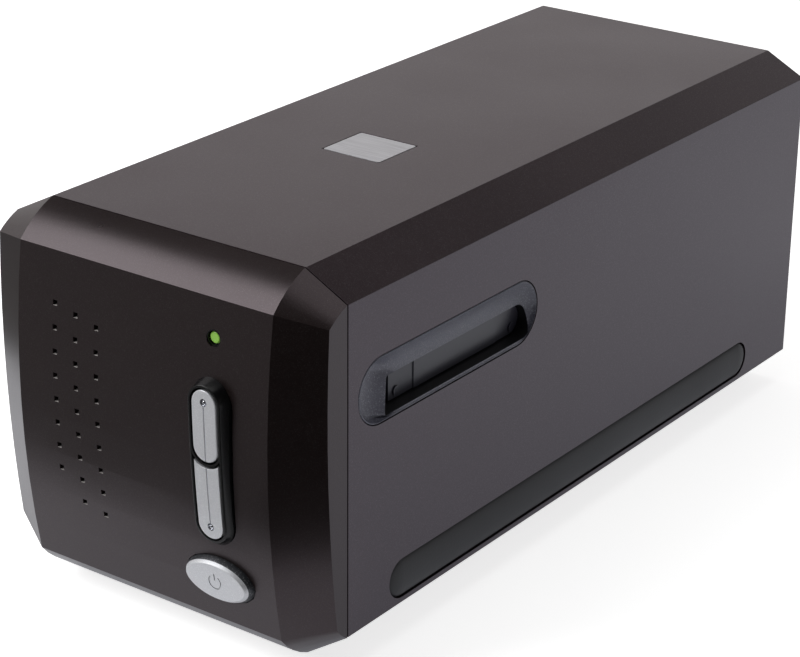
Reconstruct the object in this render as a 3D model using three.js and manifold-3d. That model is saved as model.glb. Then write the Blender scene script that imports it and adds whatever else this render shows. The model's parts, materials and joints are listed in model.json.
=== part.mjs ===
// Desktop scanner for 35 mm film negatives, as an assembly of separate pieces.
// Millimetres, +Z up, +X to the right seen from the front, the front faces -Y.
// The origin is on the ground under the centre of the whole.

import * as THREE from 'three';
import { mergeVertices } from 'three/addons/utils/BufferGeometryUtils.js';
import Module from 'manifold-3d';

const wasm = await Module();
wasm.setup();

// Overall sizes
const OVERALL_WIDTH = 120;
const OVERALL_DEPTH = 272;
const OVERALL_HEIGHT = 118.5;
const WALL = 2.5;
const FIT_GAP = 0.3;
const SEAM_GAP = 0.5;
const OVERRUN = 4;
const SAME_POINT = 0.001;

// Housing section: a rectangle with wide, low chamfers
const CHAMFER_WIDTH = 14;
const TOP_CHAMFER_HEIGHT = 7.2;
const BOTTOM_CHAMFER_HEIGHT = 9.5;
const FOOT_STAND = 2.5;
const GRIP_PROUD = 0.6;

// Front bezel: a slightly bowed face, set-back side facets, rolled top and bottom
const FACE_BULGE = 16.6;
const FACE_RADIUS = 290;
const FACE_APEX_HEIGHT = 66;
const SIDE_BULGE = 8.5;
const SIDE_RADIUS = 470;
const SIDE_APEX_HEIGHT = 78;
const TOP_CREASE_DROP = 9.1;
const BOTTOM_CREASE_RISE = 8.9;
const SIDE_TOP_CREASE_DROP = 4.5;
const SIDE_BOTTOM_CREASE_RISE = 4.4;
const ROLL_BULGE = 1;
const SIDE_ROLL_BULGE = 0.4;
const LIP_THICKNESS = 1.2;
const LIP_LENGTH = 3;

// Pattern of small square holes in the bezel
const VENT_SIDE = 1.6;
const VENT_COLUMN_PITCH = 7.75;
const VENT_EDGE_INSET = 14;
const VENT_TOP_DROP = 24.2;
const VENT_LOWEST = 32.7;
const VENT_COLUMN_DROP = 1.8;
const VENT_ROW_COUNTS = [8, 9, 9];

// Scan buttons in their collar
const CONTROL_EDGE_INSET = 19.4;
const BUTTON_PROUD = 3;
const BUTTON_WIDTH = 9.4;
const BUTTONS_TOP_DROP = 34.4;
const BUTTONS_ABOVE_POWER = 7.3;
const UPPER_BUTTON_SHARE = 0.49;
const BUTTON_BRIDGE = 1.9;
const BUTTON_GAP = 0.35;
const COLLAR_BORDER = 2.4;
const COLLAR_SINK = 0.6;
const COLLAR_FLANGE = 1.2;
const BUTTON_BEVEL = 0.5;
const BUTTON_THICKNESS = 4.5;
const BUTTON_TRAVEL = 0.6;
const STEM_RADIUS = 1.8;
const GROOVE_WIDTH = 0.5;
const GROOVE_DEPTH = 0.3;
const DIMPLE_RADIUS = 0.95;
const DIMPLE_INSET = 3.8;

// Power button
const POWER_HEIGHT = 25.6;
const POWER_HALF_WIDTH = 12;
const POWER_HALF_HEIGHT = 7;
const POWER_PROUD = 4.5;
const POWER_BEVEL = 1.5;

// Status lamp
const LAMP_DROP = 20.2;
const LAMP_HOLE_RADIUS = 2.5;
const LIGHT_PIPE_RADIUS = 1.9;
const LIGHT_PIPE_FLANGE_RADIUS = 3.4;
const LIGHT_PIPE_SINK = 0.5;

// Button board and switches
const BOARD_THICKNESS = 1.6;
const BUTTON_BOARD_DEPTH = 2.5;
const BUTTON_BOARD_HALF_WIDTH = 15;
const BUTTON_BOARD_BELOW_POWER = 6.6;
const BUTTON_BOARD_ABOVE_LAMP = 5.7;
const BOARD_POST_RADIUS = 2.5;
const BOARD_POST_INSET = 3;
const BOARD_POST_ABOVE_POWER = 4;
const SWITCH_SIDE = 6;
const SWITCH_HEIGHT = 3.6;
const SWITCH_NUB = 1;
const SWITCH_NUB_RADIUS = 1.7;

// Film slot in each side: finger dish, throat and door
const SLOT_START = 5;
const SLOT_END = 91.3;
const SLOT_DROP = 19.6;
const THROAT_START = 24;
const THROAT_END = 88.6;
const DISH_ABOVE_THROAT = 8.9;
const DISH_BELOW_THROAT = 1.1;
const THROAT_HEIGHT = 9.7;
const DISH_DEPTH = 5;
const DISH_LIP_DEPTH = 0.8;
const INSERT_DEPTH = 5.9;
const INSERT_FLANGE = 2;
const DOOR_THICKNESS = 1.5;
const DOOR_OVERLAP = 1;
const DOOR_BARREL_RADIUS = 2;
const DOOR_PIN_RADIUS = 1;
const DOOR_PIN_RISE = 3.6;
const DOOR_EAR_THICKNESS = 1.7;
const DOOR_PANEL_RAISE = 0.25;
const DOOR_PANEL_MARGIN = 13;
const DOOR_CLIP_MARGIN = 5;
const DOOR_CLIP_RADIUS = 1.2;
const DOOR_CLIP_RISE = 2.4;

// Rubber grips low on the sides
const GRIP_START = 19.8;
const GRIP_LENGTH = 204;
const GRIP_HEIGHT = 11.8;
const GRIP_CENTRE_HEIGHT = 19.8;
const GRIP_SINK = 1;
const GRIP_CROWN = 2;
const GRIP_SHOULDER_DROP = 0.2;

// Badge plate
const BADGE_WIDTH = 20.8;
const BADGE_LENGTH = 18.9;
const BADGE_THICKNESS = 0.5;
const BADGE_CENTRE_BACK = 88.7;

// Feet, screws and posts
const FOOT_RADIUS = 8;
const FOOT_SINK = 1;
const FOOT_EDGE_INSET = 15.4;
const FOOT_FROM_SEAM = 24;
const FOOT_FROM_REAR = 26;
const POST_EDGE_INSET = 4.4;
const POST_RADIUS = 3.2;
const POST_FROM_SEAM = 7.5;
const POST_FROM_REAR = 11;
const TRAY_BOSS_RADIUS = 5;
const TRAY_BOSS_HEIGHT = 3;
const SCREW_HEAD_RADIUS = 2.8;
const SCREW_HEAD_HEIGHT = 1.8;
const SCREW_HEAD_SINK = 0.5;
const SCREW_RADIUS = 1.3;
const SCREW_LENGTH = 14;

// Rear panel and its sockets
const REAR_SINK = 1.3;
const REAR_SCREW_EDGE_INSET = 13.4;
const REAR_SCREW_DROP = 22.5;
const REAR_SCREW_LENGTH = 7;
const REAR_BLOCK_LENGTH = 9;
const REAR_BLOCK_WIDTH = 9;
const REAR_BLOCK_BELOW = 5;
const USB_X = -14;
const USB_WIDTH = 12;
const USB_HEIGHT = 11;
const USB_LENGTH = 16;
const USB_WALL = 1;
const JACK_X = 14;
const JACK_WIDTH = 10;
const JACK_HEIGHT = 11;
const JACK_LENGTH = 14;
const USB_TONGUE_HALF_WIDTH = 2.5;
const USB_TONGUE_HALF_HEIGHT = 2;
const JACK_BORE_RADIUS = 3;
const JACK_PIN_RADIUS = 1;
const SOCKET_BORE_DEPTH = 9;
const SOCKET_TIP_SINK = 1;

// Scan frame, rods and film guide
const FRAME_STAND = 3;
const FRAME_PLATE = 2.5;
const FRAME_EDGE_INSET = 13.4;
const FRAME_FROM_SEAM = 13;
const FRAME_FROM_REAR = 49.4;
const FRAME_WALL = 3;
const FRAME_WALL_ABOVE_ROD = 9;
const FRAME_COLUMN = 5;
const ROD_RADIUS = 3;
const ROD_FROM_COLUMN = 3;
const ROD_ABOVE_TRAY = 15;
const GUIDE_DOOR_GAP = 1.5;
const GUIDE_PLATE = 2;
const GUIDE_BED = 1.3;
const GUIDE_RAIL = 2;
const GUIDE_RAIL_HEIGHT = 9.5;
const GUIDE_FILM_DROP = 0.2;
const APERTURE_WIDTH = 40;
const APERTURE_LENGTH = 28;

// Scan carriage
const CARRIAGE_TRAVEL = 12;
const CARRIAGE_ROD_GAP = 3;
const CARRIAGE_WALL = 2.5;
const CARRIAGE_HEIGHT = 34;
const CARRIAGE_BELOW_GUIDE = 3.6;
const CARRIAGE_AHEAD = 22;
const CARRIAGE_REAR_GAP = 5;
const COLUMN_RAIL_GAP = 0.9;
const COLUMN_LENGTH = 8;
const COLUMN_WIDTH = 6;
const ARM_THICKNESS = 4;
const ARM_SIDE_INSET = 4;
const LAMP_ABOVE_RAIL = 2;
const ARM_AHEAD = 12;
const BUSH_WALL = 2;
const BUSH_LENGTH = 12;
const BUSH_HALF_HEIGHT = 6;
const FRONT_BUSH_BACK = 6;
const REAR_BUSH_INSET = 16;
const MIRROR_SIDE_GAP = 3.5;
const MIRROR_HALF_LENGTH = 15;
const MIRROR_THICKNESS = 2;
const MIRROR_ABOVE_TRAY = 17;
const LENS_RADIUS = 10;
const LENS_BORE_RADIUS = 6;
const LENS_LENGTH = 22;
const LENS_PLACE_SHARE = 0.45;
const LENS_ABOVE_TRAY = 17.5;
const CRADLE_HALF_WIDTH = 7;
const SENSOR_SCREW_GAP = 5;
const SENSOR_BELOW_RIM = 2;
const LAMP_SIDE_INSET = 3;
const LAMP_HALF_LENGTH = 10;
const DIFFUSER_THICKNESS = 2.5;

// Drive
const SCREW_ABOVE_TRAY = 17.5;
const LEAD_SCREW_RADIUS = 2.5;
const LEAD_SCREW_SPARE = 3;
const LEAD_SCREW_PASS_GAP = 0.6;
const NUT_LENGTH = 7;
const NUT_RADIUS = 6;
const MOTOR_RADIUS = 14;
const MOTOR_LENGTH = 20;

// Main board
const MAIN_BOARD_POST_GAP = 1.8;
const MAIN_BOARD_LENGTH = 38;
const MAIN_BOARD_STAND = 6;
const STANDOFF_RADIUS = 3;
const STANDOFF_INSET = 5;

// Places that follow from the sizes above
const SHELL_HALF = OVERALL_WIDTH / 2 - GRIP_PROUD;
const SHELL_LOW = FOOT_STAND;
const SHELL_TOP = OVERALL_HEIGHT;
const SIDE_LOW = SHELL_LOW + BOTTOM_CHAMFER_HEIGHT;
const SIDE_HIGH = SHELL_TOP - TOP_CHAMFER_HEIGHT;
const FLAT_HALF = SHELL_HALF - CHAMFER_WIDTH;
const FRONT = -OVERALL_DEPTH / 2;
const REAR = OVERALL_DEPTH / 2;
const SEAM = FRONT + FACE_BULGE + BUTTON_PROUD;
const COVER_FRONT = SEAM + SEAM_GAP;
const FLOOR = SHELL_LOW + WALL;
const BADGE_Y = SEAM + BADGE_CENTRE_BACK;
const CONTROL_X = FLAT_HALF - CONTROL_EDGE_INSET;
const POST_X = FLAT_HALF - POST_EDGE_INSET;
const FOOT_X = FLAT_HALF - FOOT_EDGE_INSET;
const REAR_SCREW_X = FLAT_HALF - REAR_SCREW_EDGE_INSET;
const REAR_SCREW_HEIGHT = SHELL_TOP - REAR_SCREW_DROP;
const UPPER_BUTTON_TOP = SHELL_TOP - BUTTONS_TOP_DROP;
const LOWER_BUTTON_BOTTOM = POWER_HEIGHT + POWER_HALF_HEIGHT + BUTTONS_ABOVE_POWER;
const BUTTONS_LENGTH = UPPER_BUTTON_TOP - LOWER_BUTTON_BOTTOM - BUTTON_BRIDGE;
const UPPER_BUTTON_BOTTOM = UPPER_BUTTON_TOP - BUTTONS_LENGTH * UPPER_BUTTON_SHARE;
const LAMP_HEIGHT = SHELL_TOP - LAMP_DROP;
const BUTTON_BOARD_LEFT = CONTROL_X - BUTTON_BOARD_HALF_WIDTH;
const BUTTON_BOARD_RIGHT = CONTROL_X + BUTTON_BOARD_HALF_WIDTH;
const BUTTON_BOARD_LOW = POWER_HEIGHT - BUTTON_BOARD_BELOW_POWER;
const BUTTON_BOARD_HIGH = LAMP_HEIGHT + BUTTON_BOARD_ABOVE_LAMP;
const SLOT_HIGH = SIDE_HIGH - SLOT_DROP;
const THROAT_HIGH = SLOT_HIGH - DISH_ABOVE_THROAT;
const THROAT_LOW = THROAT_HIGH - THROAT_HEIGHT;
const SLOT_LOW = THROAT_LOW - DISH_BELOW_THROAT;
const INSERT_BACK = SHELL_HALF - INSERT_DEPTH;
const PIN_X = INSERT_BACK - FIT_GAP - DOOR_BARREL_RADIUS;
const PIN_HEIGHT = THROAT_HIGH + DOOR_PIN_RISE;
const FILM_Y = SEAM + (THROAT_START + THROAT_END) / 2;
const FILM_HALF = (THROAT_END - THROAT_START) / 2;
const PANEL_REAR = REAR - REAR_SINK;
const PANEL_FRONT = PANEL_REAR - WALL;
const BOARD_FRONT = SEAM - BUTTON_BOARD_DEPTH;
const NUB_TIP = BOARD_FRONT - FIT_GAP - SWITCH_HEIGHT - SWITCH_NUB;
const STEM_TIP = NUB_TIP - FIT_GAP - BUTTON_TRAVEL;
const FRAME_FRONT = SEAM + FRAME_FROM_SEAM;
const FRAME_REAR = REAR - FRAME_FROM_REAR;
const FRAME_HALF_WIDTH = SHELL_HALF - FRAME_EDGE_INSET;
const FRAME_COLUMN_X = FRAME_HALF_WIDTH - FRAME_COLUMN / 2 - FIT_GAP;
const ROD_X = FRAME_COLUMN_X - FRAME_COLUMN / 2 - ROD_FROM_COLUMN - ROD_RADIUS;
const FRAME_LOW = FLOOR + FRAME_STAND;
const FRAME_TOP = FRAME_LOW + FRAME_PLATE;
const GUIDE_TOP = THROAT_LOW - GUIDE_FILM_DROP;
const GUIDE_LOW = GUIDE_TOP - GUIDE_BED - GUIDE_PLATE;
const CARRIAGE_FRONT = FILM_Y - CARRIAGE_AHEAD;
const CARRIAGE_REAR = FRAME_REAR - FRAME_WALL - CARRIAGE_TRAVEL - NUT_LENGTH - CARRIAGE_REAR_GAP;
const CARRIAGE_HIGH = GUIDE_LOW - CARRIAGE_BELOW_GUIDE;
const CARRIAGE_LOW = CARRIAGE_HIGH - CARRIAGE_HEIGHT;
const CARRIAGE_HALF_WIDTH = ROD_X - ROD_RADIUS - CARRIAGE_ROD_GAP;
const MIRROR_HEIGHT = CARRIAGE_LOW + MIRROR_ABOVE_TRAY;
const MIRROR_HALF_WIDTH = CARRIAGE_HALF_WIDTH - CARRIAGE_WALL - MIRROR_SIDE_GAP;
const LENS_HEIGHT = CARRIAGE_LOW + LENS_ABOVE_TRAY;
const SCREW_HEIGHT = CARRIAGE_LOW + SCREW_ABOVE_TRAY;
const ROD_HEIGHT = CARRIAGE_LOW + ROD_ABOVE_TRAY;
const SCREW_TIP = CARRIAGE_REAR - CARRIAGE_TRAVEL - LEAD_SCREW_SPARE;
const SENSOR_FRONT = SCREW_TIP - CARRIAGE_TRAVEL - SENSOR_SCREW_GAP - BOARD_THICKNESS;
const MIRROR_REAR = FILM_Y + (MIRROR_HALF_LENGTH + MIRROR_THICKNESS / 2) / Math.SQRT2;
const LENS_FRONT = MIRROR_REAR + (SENSOR_FRONT - MIRROR_REAR - LENS_LENGTH) * LENS_PLACE_SHARE;
const ARM_HALF_WIDTH = CARRIAGE_HALF_WIDTH - ARM_SIDE_INSET;
const LAMP_HALF_WIDTH = ARM_HALF_WIDTH - LAMP_SIDE_INSET;
const LAMP_LOW = GUIDE_TOP + GUIDE_RAIL_HEIGHT + LAMP_ABOVE_RAIL;
const ARM_LOW = LAMP_LOW + DIFFUSER_THICKNESS + BOARD_THICKNESS + 2 * FIT_GAP;
const ARM_HIGH = ARM_LOW + ARM_THICKNESS;
const DOOR_REACH = PIN_HEIGHT - THROAT_LOW + DOOR_OVERLAP;
const GUIDE_HALF_LENGTH = PIN_X - DOOR_REACH - GUIDE_DOOR_GAP;
const MAIN_BOARD_HALF_WIDTH = POST_X - POST_RADIUS - MAIN_BOARD_POST_GAP;
const COLUMN_FRONT = FILM_Y + FILM_HALF + GUIDE_RAIL + CARRIAGE_TRAVEL + COLUMN_RAIL_GAP;
const MAIN_BOARD_LOW = FLOOR + MAIN_BOARD_STAND;
const MAIN_BOARD_REAR = PANEL_FRONT - SEAM_GAP;
const SOCKET_LOW = MAIN_BOARD_LOW + BOARD_THICKNESS + FIT_GAP;
const ARC_STEPS = 8;
const UPPER_SWITCH_HEIGHT = (UPPER_BUTTON_TOP + UPPER_BUTTON_BOTTOM) / 2;
const LOWER_SWITCH_HEIGHT = (UPPER_BUTTON_BOTTOM - BUTTON_BRIDGE + LOWER_BUTTON_BOTTOM) / 2;

// Finishes
const FINISHES = {
  shell: { color: 0x4a4347, roughness: 0.5, metalness: 0.35 },
  bezel: { color: 0x2e2a2b, roughness: 0.45, metalness: 0.3 },
  black: { color: 0x161617, roughness: 0.5, metalness: 0 },
  rubber: { color: 0x333535, roughness: 0.85, metalness: 0 },
  silver: { color: 0xbfc1c5, roughness: 0.35, metalness: 0.8 },
  steel: { color: 0xa5a8ab, roughness: 0.3, metalness: 1 },
  brass: { color: 0xb08d4a, roughness: 0.35, metalness: 1 },
  board: { color: 0x1f5a38, roughness: 0.5, metalness: 0 },
  frame: { color: 0x5b5e61, roughness: 0.6, metalness: 0 },
  lamp: { color: 0x7ed321, roughness: 0.15, metalness: 0 },
  white: { color: 0xf0f0ec, roughness: 0.6, metalness: 0 },
  mirror: { color: 0xdfe6ea, roughness: 0.05, metalness: 1 },
};

// Solids from three.js geometry
function toSolid(geometry) {
  const bare = geometry.clone();
  bare.deleteAttribute('normal');
  bare.deleteAttribute('uv');
  const merged = mergeVertices(bare);
  return new wasm.Manifold(new wasm.Mesh({
    numProp: 3,
    vertProperties: Float32Array.from(merged.attributes.position.array),
    triVerts: Uint32Array.from(merged.index.array),
  }));
}

function toMesh(name, solid, finish) {
  const data = solid.getMesh();
  const geometry = new THREE.BufferGeometry();
  geometry.setAttribute('position', new THREE.BufferAttribute(Float32Array.from(data.vertProperties), 3));
  geometry.setIndex(new THREE.BufferAttribute(Uint32Array.from(data.triVerts), 1));
  geometry.computeVertexNormals();
  const mesh = new THREE.Mesh(geometry, new THREE.MeshStandardMaterial(FINISHES[finish]));
  mesh.name = name;
  return mesh;
}

const joinAll = (solids) => solids.reduce((sum, next) => sum.add(next));
const cutAll = (solid, cutters) => cutters.reduce((rest, next) => rest.subtract(next), solid);

// Drawing planes: a prism along X is drawn in (Y, Z), along Y in (X, Z) and along Z in (X, Y)
const AXIS = {
  x: new THREE.Vector3(1, 0, 0),
  y: new THREE.Vector3(0, 1, 0),
  z: new THREE.Vector3(0, 0, 1),
};
const PLANES = {
  x: new THREE.Matrix4().makeBasis(AXIS.y, AXIS.z, AXIS.x),
  y: new THREE.Matrix4().makeBasis(AXIS.x, AXIS.z, AXIS.y.clone().negate()),
  z: new THREE.Matrix4(),
};

function prism(shape, axis, from, to) {
  const geometry = new THREE.ExtrudeGeometry(shape, {
    depth: to - from,
    bevelEnabled: false,
    curveSegments: ARC_STEPS,
  });
  geometry.translate(0, 0, axis === 'y' ? -to : from);
  geometry.applyMatrix4(PLANES[axis]);
  return toSolid(geometry);
}

function box(x0, x1, y0, y1, z0, z1) {
  const geometry = new THREE.BoxGeometry(x1 - x0, y1 - y0, z1 - z0);
  geometry.translate((x0 + x1) / 2, (y0 + y1) / 2, (z0 + z1) / 2);
  return toSolid(geometry);
}

function polygon(points) {
  return new THREE.Shape(points.map(([u, v]) => new THREE.Vector2(u, v)));
}

function disc(u, v, radius) {
  return new THREE.Shape().absarc(u, v, radius, 0, 2 * Math.PI, false);
}

function oval(u, v, halfU, halfV) {
  return new THREE.Shape().absellipse(u, v, halfU, halfV, 0, 2 * Math.PI, false);
}

// A stadium lying along the first drawing axis
function flatStadium(u0, u1, v0, v1) {
  const radius = (v1 - v0) / 2;
  const v = (v0 + v1) / 2;
  const shape = new THREE.Shape();
  shape.absarc(u0 + radius, v, radius, Math.PI / 2, 3 * Math.PI / 2, false);
  shape.absarc(u1 - radius, v, radius, -Math.PI / 2, Math.PI / 2, false);
  return shape;
}

// A stadium standing along the second drawing axis
function tallStadium(u0, u1, v0, v1) {
  const radius = (u1 - u0) / 2;
  const u = (u0 + u1) / 2;
  const shape = new THREE.Shape();
  shape.absarc(u, v0 + radius, radius, Math.PI, 2 * Math.PI, false);
  shape.absarc(u, v1 - radius, radius, 0, Math.PI, false);
  return shape;
}

// A closed skin over rings of equally many points, each end closed by a fan about its middle
function loft(rings) {
  const count = rings[0].length;
  const points = rings.flat();
  const faces = [];
  for (let r = 0; r < rings.length - 1; r += 1) {
    for (let i = 0; i < count; i += 1) {
      const a = r * count + i;
      const b = r * count + (i + 1) % count;
      faces.push(a, b, b + count, a, b + count, a + count);
    }
  }
  const last = (rings.length - 1) * count;
  const ends = [[0, 1], [last, 0]];
  for (const [start, flip] of ends) {
    const middle = new THREE.Vector3();
    const ring = points.slice(start, start + count);
    ring.forEach((point) => middle.add(point));
    points.push(middle.divideScalar(count));
    const hub = points.length - 1;
    for (let i = 0; i < count; i += 1) {
      const a = start + i;
      const b = start + (i + 1) % count;
      faces.push(...(flip ? [b, a, hub] : [a, b, hub]));
    }
  }
  const geometry = new THREE.BufferGeometry().setFromPoints(points);
  geometry.setIndex(facesOutward(points, faces));
  return toSolid(geometry);
}

function facesOutward(points, faces) {
  let volume = 0;
  for (let i = 0; i < faces.length; i += 3) {
    const [a, b, c] = [points[faces[i]], points[faces[i + 1]], points[faces[i + 2]]];
    volume += a.dot(b.clone().cross(c));
  }
  return volume > 0 ? faces : faces.reverse();
}

function outlineOf(shape) {
  const points = shape.getPoints(ARC_STEPS);
  const closes = points[0].distanceTo(points[points.length - 1]) < SAME_POINT;
  return closes ? points.slice(0, -1) : points;
}

// Housing section, inset square to each of its eight sides
function section(inset) {
  const corners = [
    [SHELL_HALF, SIDE_LOW], [SHELL_HALF, SIDE_HIGH], [FLAT_HALF, SHELL_TOP], [-FLAT_HALF, SHELL_TOP],
    [-SHELL_HALF, SIDE_HIGH], [-SHELL_HALF, SIDE_LOW], [-FLAT_HALF, SHELL_LOW], [FLAT_HALF, SHELL_LOW],
  ].map(([x, z]) => new THREE.Vector2(x, z));
  const edges = corners.map((corner, i) => {
    const along = corners[(i + 1) % corners.length].clone().sub(corner).normalize();
    const inward = new THREE.Vector2(-along.y, along.x);
    return { along, start: corner.clone().addScaledVector(inward, inset) };
  });
  const points = edges.map((edge, i) => {
    const previous = edges[(i + edges.length - 1) % edges.length];
    const apart = edge.start.clone().sub(previous.start);
    const share = apart.cross(edge.along) / previous.along.cross(edge.along);
    return previous.start.clone().addScaledVector(previous.along, share);
  });
  return new THREE.Shape(points);
}

function housingTube(from, to) {
  return prism(section(0), 'y', from, to).subtract(prism(section(WALL), 'y', from - OVERRUN, to + OVERRUN));
}

// Depth of the bowed face in front of the seam, at a height
function faceDepth(height) {
  return FACE_BULGE - (height - FACE_APEX_HEIGHT) ** 2 / (2 * FACE_RADIUS);
}

// The same for the outer crease of the side facets, which is bowed less
function sideDepth(height) {
  return SIDE_BULGE - (height - SIDE_APEX_HEIGHT) ** 2 / (2 * SIDE_RADIUS);
}

// A shallow arc between two points, swelling by its bulge
function bowed(start, end, bulge) {
  const chord = end.clone().sub(start);
  const outward = new THREE.Vector2(-chord.y, chord.x).normalize().multiplyScalar(2 * bulge);
  const middle = start.clone().add(end).multiplyScalar(1 / 2).add(outward);
  return new THREE.QuadraticBezierCurve(start, middle, end).getPoints(ARC_STEPS / 2);
}

function bezelRing(x, top, bottom, topCrease, bottomCrease, depthAt, bulge, inset, back) {
  const face = [];
  for (let i = 0; i <= ARC_STEPS; i += 1) {
    const height = topCrease + (bottomCrease - topCrease) * i / ARC_STEPS;
    face.push(new THREE.Vector2(SEAM - depthAt(height) + inset, height));
  }
  const topRoll = bowed(face[0], new THREE.Vector2(SEAM, top), bulge).reverse();
  const bottomRoll = bowed(face[ARC_STEPS], new THREE.Vector2(SEAM, bottom), -bulge);
  const outline = [new THREE.Vector2(back, top), ...topRoll.slice(back === SEAM ? 1 : 0)];
  outline.push(...face.slice(1), ...bottomRoll.slice(1, back === SEAM ? -1 : undefined));
  outline.push(new THREE.Vector2(back, bottom));
  return outline.map((point) => new THREE.Vector3(x, point.x, point.y));
}

function bezelForm(inset, back) {
  const side = (x) => bezelRing(x, SIDE_HIGH - inset, SIDE_LOW + inset,
    SIDE_HIGH - SIDE_TOP_CREASE_DROP - inset / 2, SIDE_LOW + SIDE_BOTTOM_CREASE_RISE + inset / 2,
    sideDepth, SIDE_ROLL_BULGE, inset, back);
  const flat = (x) => bezelRing(x, SHELL_TOP - inset, SHELL_LOW + inset,
    SHELL_TOP - TOP_CREASE_DROP - inset / 2, SHELL_LOW + BOTTOM_CREASE_RISE + inset / 2,
    faceDepth, ROLL_BULGE, inset, back);
  return loft([
    side(-SHELL_HALF + inset), flat(-FLAT_HALF + inset / 2),
    flat(FLAT_HALF - inset / 2), side(SHELL_HALF - inset),
  ]);
}

function ventHoles() {
  const holes = [];
  const columns = VENT_ROW_COUNTS.length - 1;
  const top = SHELL_TOP - VENT_TOP_DROP;
  const pitch = (top - columns * VENT_COLUMN_DROP - VENT_LOWEST) / (VENT_ROW_COUNTS[columns] - 1);
  VENT_ROW_COUNTS.forEach((rows, column) => {
    const x = -FLAT_HALF + VENT_EDGE_INSET + column * VENT_COLUMN_PITCH;
    for (let row = 0; row < rows; row += 1) {
      const z = top - column * VENT_COLUMN_DROP - row * pitch;
      holes.push(box(x - VENT_SIDE / 2, x + VENT_SIDE / 2, FRONT - OVERRUN, SEAM,
        z - VENT_SIDE / 2, z + VENT_SIDE / 2));
    }
  });
  return holes;
}

// Scan button outlines, drawn in (X, Z)
const HALF_BUTTON = BUTTON_WIDTH / 2;
const BUTTON_LEFT = CONTROL_X - HALF_BUTTON;
const BUTTON_RIGHT = CONTROL_X + HALF_BUTTON;
const BUTTON_FRONT = FRONT;
const COLLAR_FRONT = BUTTON_FRONT + COLLAR_SINK;
const BEZEL_INSIDE = SEAM - faceDepth(LOWER_BUTTON_BOTTOM - COLLAR_BORDER) + WALL;
const COLLAR_FLANGE_FRONT = BEZEL_INSIDE + FIT_GAP;
const COLLAR_BACK = COLLAR_FLANGE_FRONT + COLLAR_FLANGE;

function upperButtonShape(grow) {
  return tallStadium(BUTTON_LEFT - grow, BUTTON_RIGHT + grow,
    UPPER_BUTTON_BOTTOM - grow, UPPER_BUTTON_TOP + grow);
}

function lowerButtonShape(grow) {
  const arcCentre = UPPER_BUTTON_BOTTOM + HALF_BUTTON;
  const arcRadius = HALF_BUTTON + BUTTON_BRIDGE - grow;
  const half = HALF_BUTTON + grow;
  const swing = Math.asin(half / arcRadius);
  const shape = new THREE.Shape();
  shape.absarc(CONTROL_X, LOWER_BUTTON_BOTTOM + HALF_BUTTON, half, Math.PI, 2 * Math.PI, false);
  shape.absarc(CONTROL_X, arcCentre, arcRadius, -Math.PI / 2 + swing, -Math.PI / 2 - swing, true);
  return shape;
}

function collarShape(grow) {
  const border = COLLAR_BORDER + grow;
  return tallStadium(BUTTON_LEFT - border, BUTTON_RIGHT + border,
    LOWER_BUTTON_BOTTOM - border, UPPER_BUTTON_TOP + border);
}

function makeFrontBezel() {
  const shell = bezelForm(0, SEAM).subtract(bezelForm(WALL, SEAM + OVERRUN));
  const lipOuter = prism(section(WALL + FIT_GAP), 'y', SEAM - LIP_LENGTH, SEAM + LIP_LENGTH);
  const lipRoot = prism(section(WALL / 2), 'y', SEAM - LIP_LENGTH, SEAM - FIT_GAP);
  const lipInner = prism(section(WALL + FIT_GAP + LIP_THICKNESS), 'y',
    SEAM - LIP_LENGTH - OVERRUN, SEAM + LIP_LENGTH + OVERRUN);
  const abovePower = POWER_HEIGHT + POWER_HALF_HEIGHT + COLLAR_FLANGE + BOARD_POST_ABOVE_POWER;
  const posts = [
    [BUTTON_BOARD_LEFT + BOARD_POST_INSET, abovePower],
    [BUTTON_BOARD_LEFT + BOARD_POST_INSET, BUTTON_BOARD_HIGH - BOARD_POST_INSET],
    [BUTTON_BOARD_RIGHT - BOARD_POST_INSET, BUTTON_BOARD_HIGH - BOARD_POST_INSET],
  ].map(([x, z]) => prism(disc(x, z, BOARD_POST_RADIUS), 'y', SEAM - faceDepth(z) + WALL / 2,
    BOARD_FRONT - FIT_GAP));
  const cutters = [
    prism(collarShape(FIT_GAP), 'y', FRONT - OVERRUN, SEAM),
    prism(oval(CONTROL_X, POWER_HEIGHT, POWER_HALF_WIDTH + FIT_GAP, POWER_HALF_HEIGHT + FIT_GAP), 'y',
      FRONT - OVERRUN, SEAM),
    prism(disc(CONTROL_X, LAMP_HEIGHT, LAMP_HOLE_RADIUS), 'y', FRONT - OVERRUN, SEAM),
    ...ventHoles(),
  ];
  const lip = lipOuter.add(lipRoot).subtract(lipInner).intersect(bezelForm(0, SEAM + LIP_LENGTH + OVERRUN));
  return cutAll(shell.add(lip), cutters).add(joinAll(posts));
}

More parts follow.
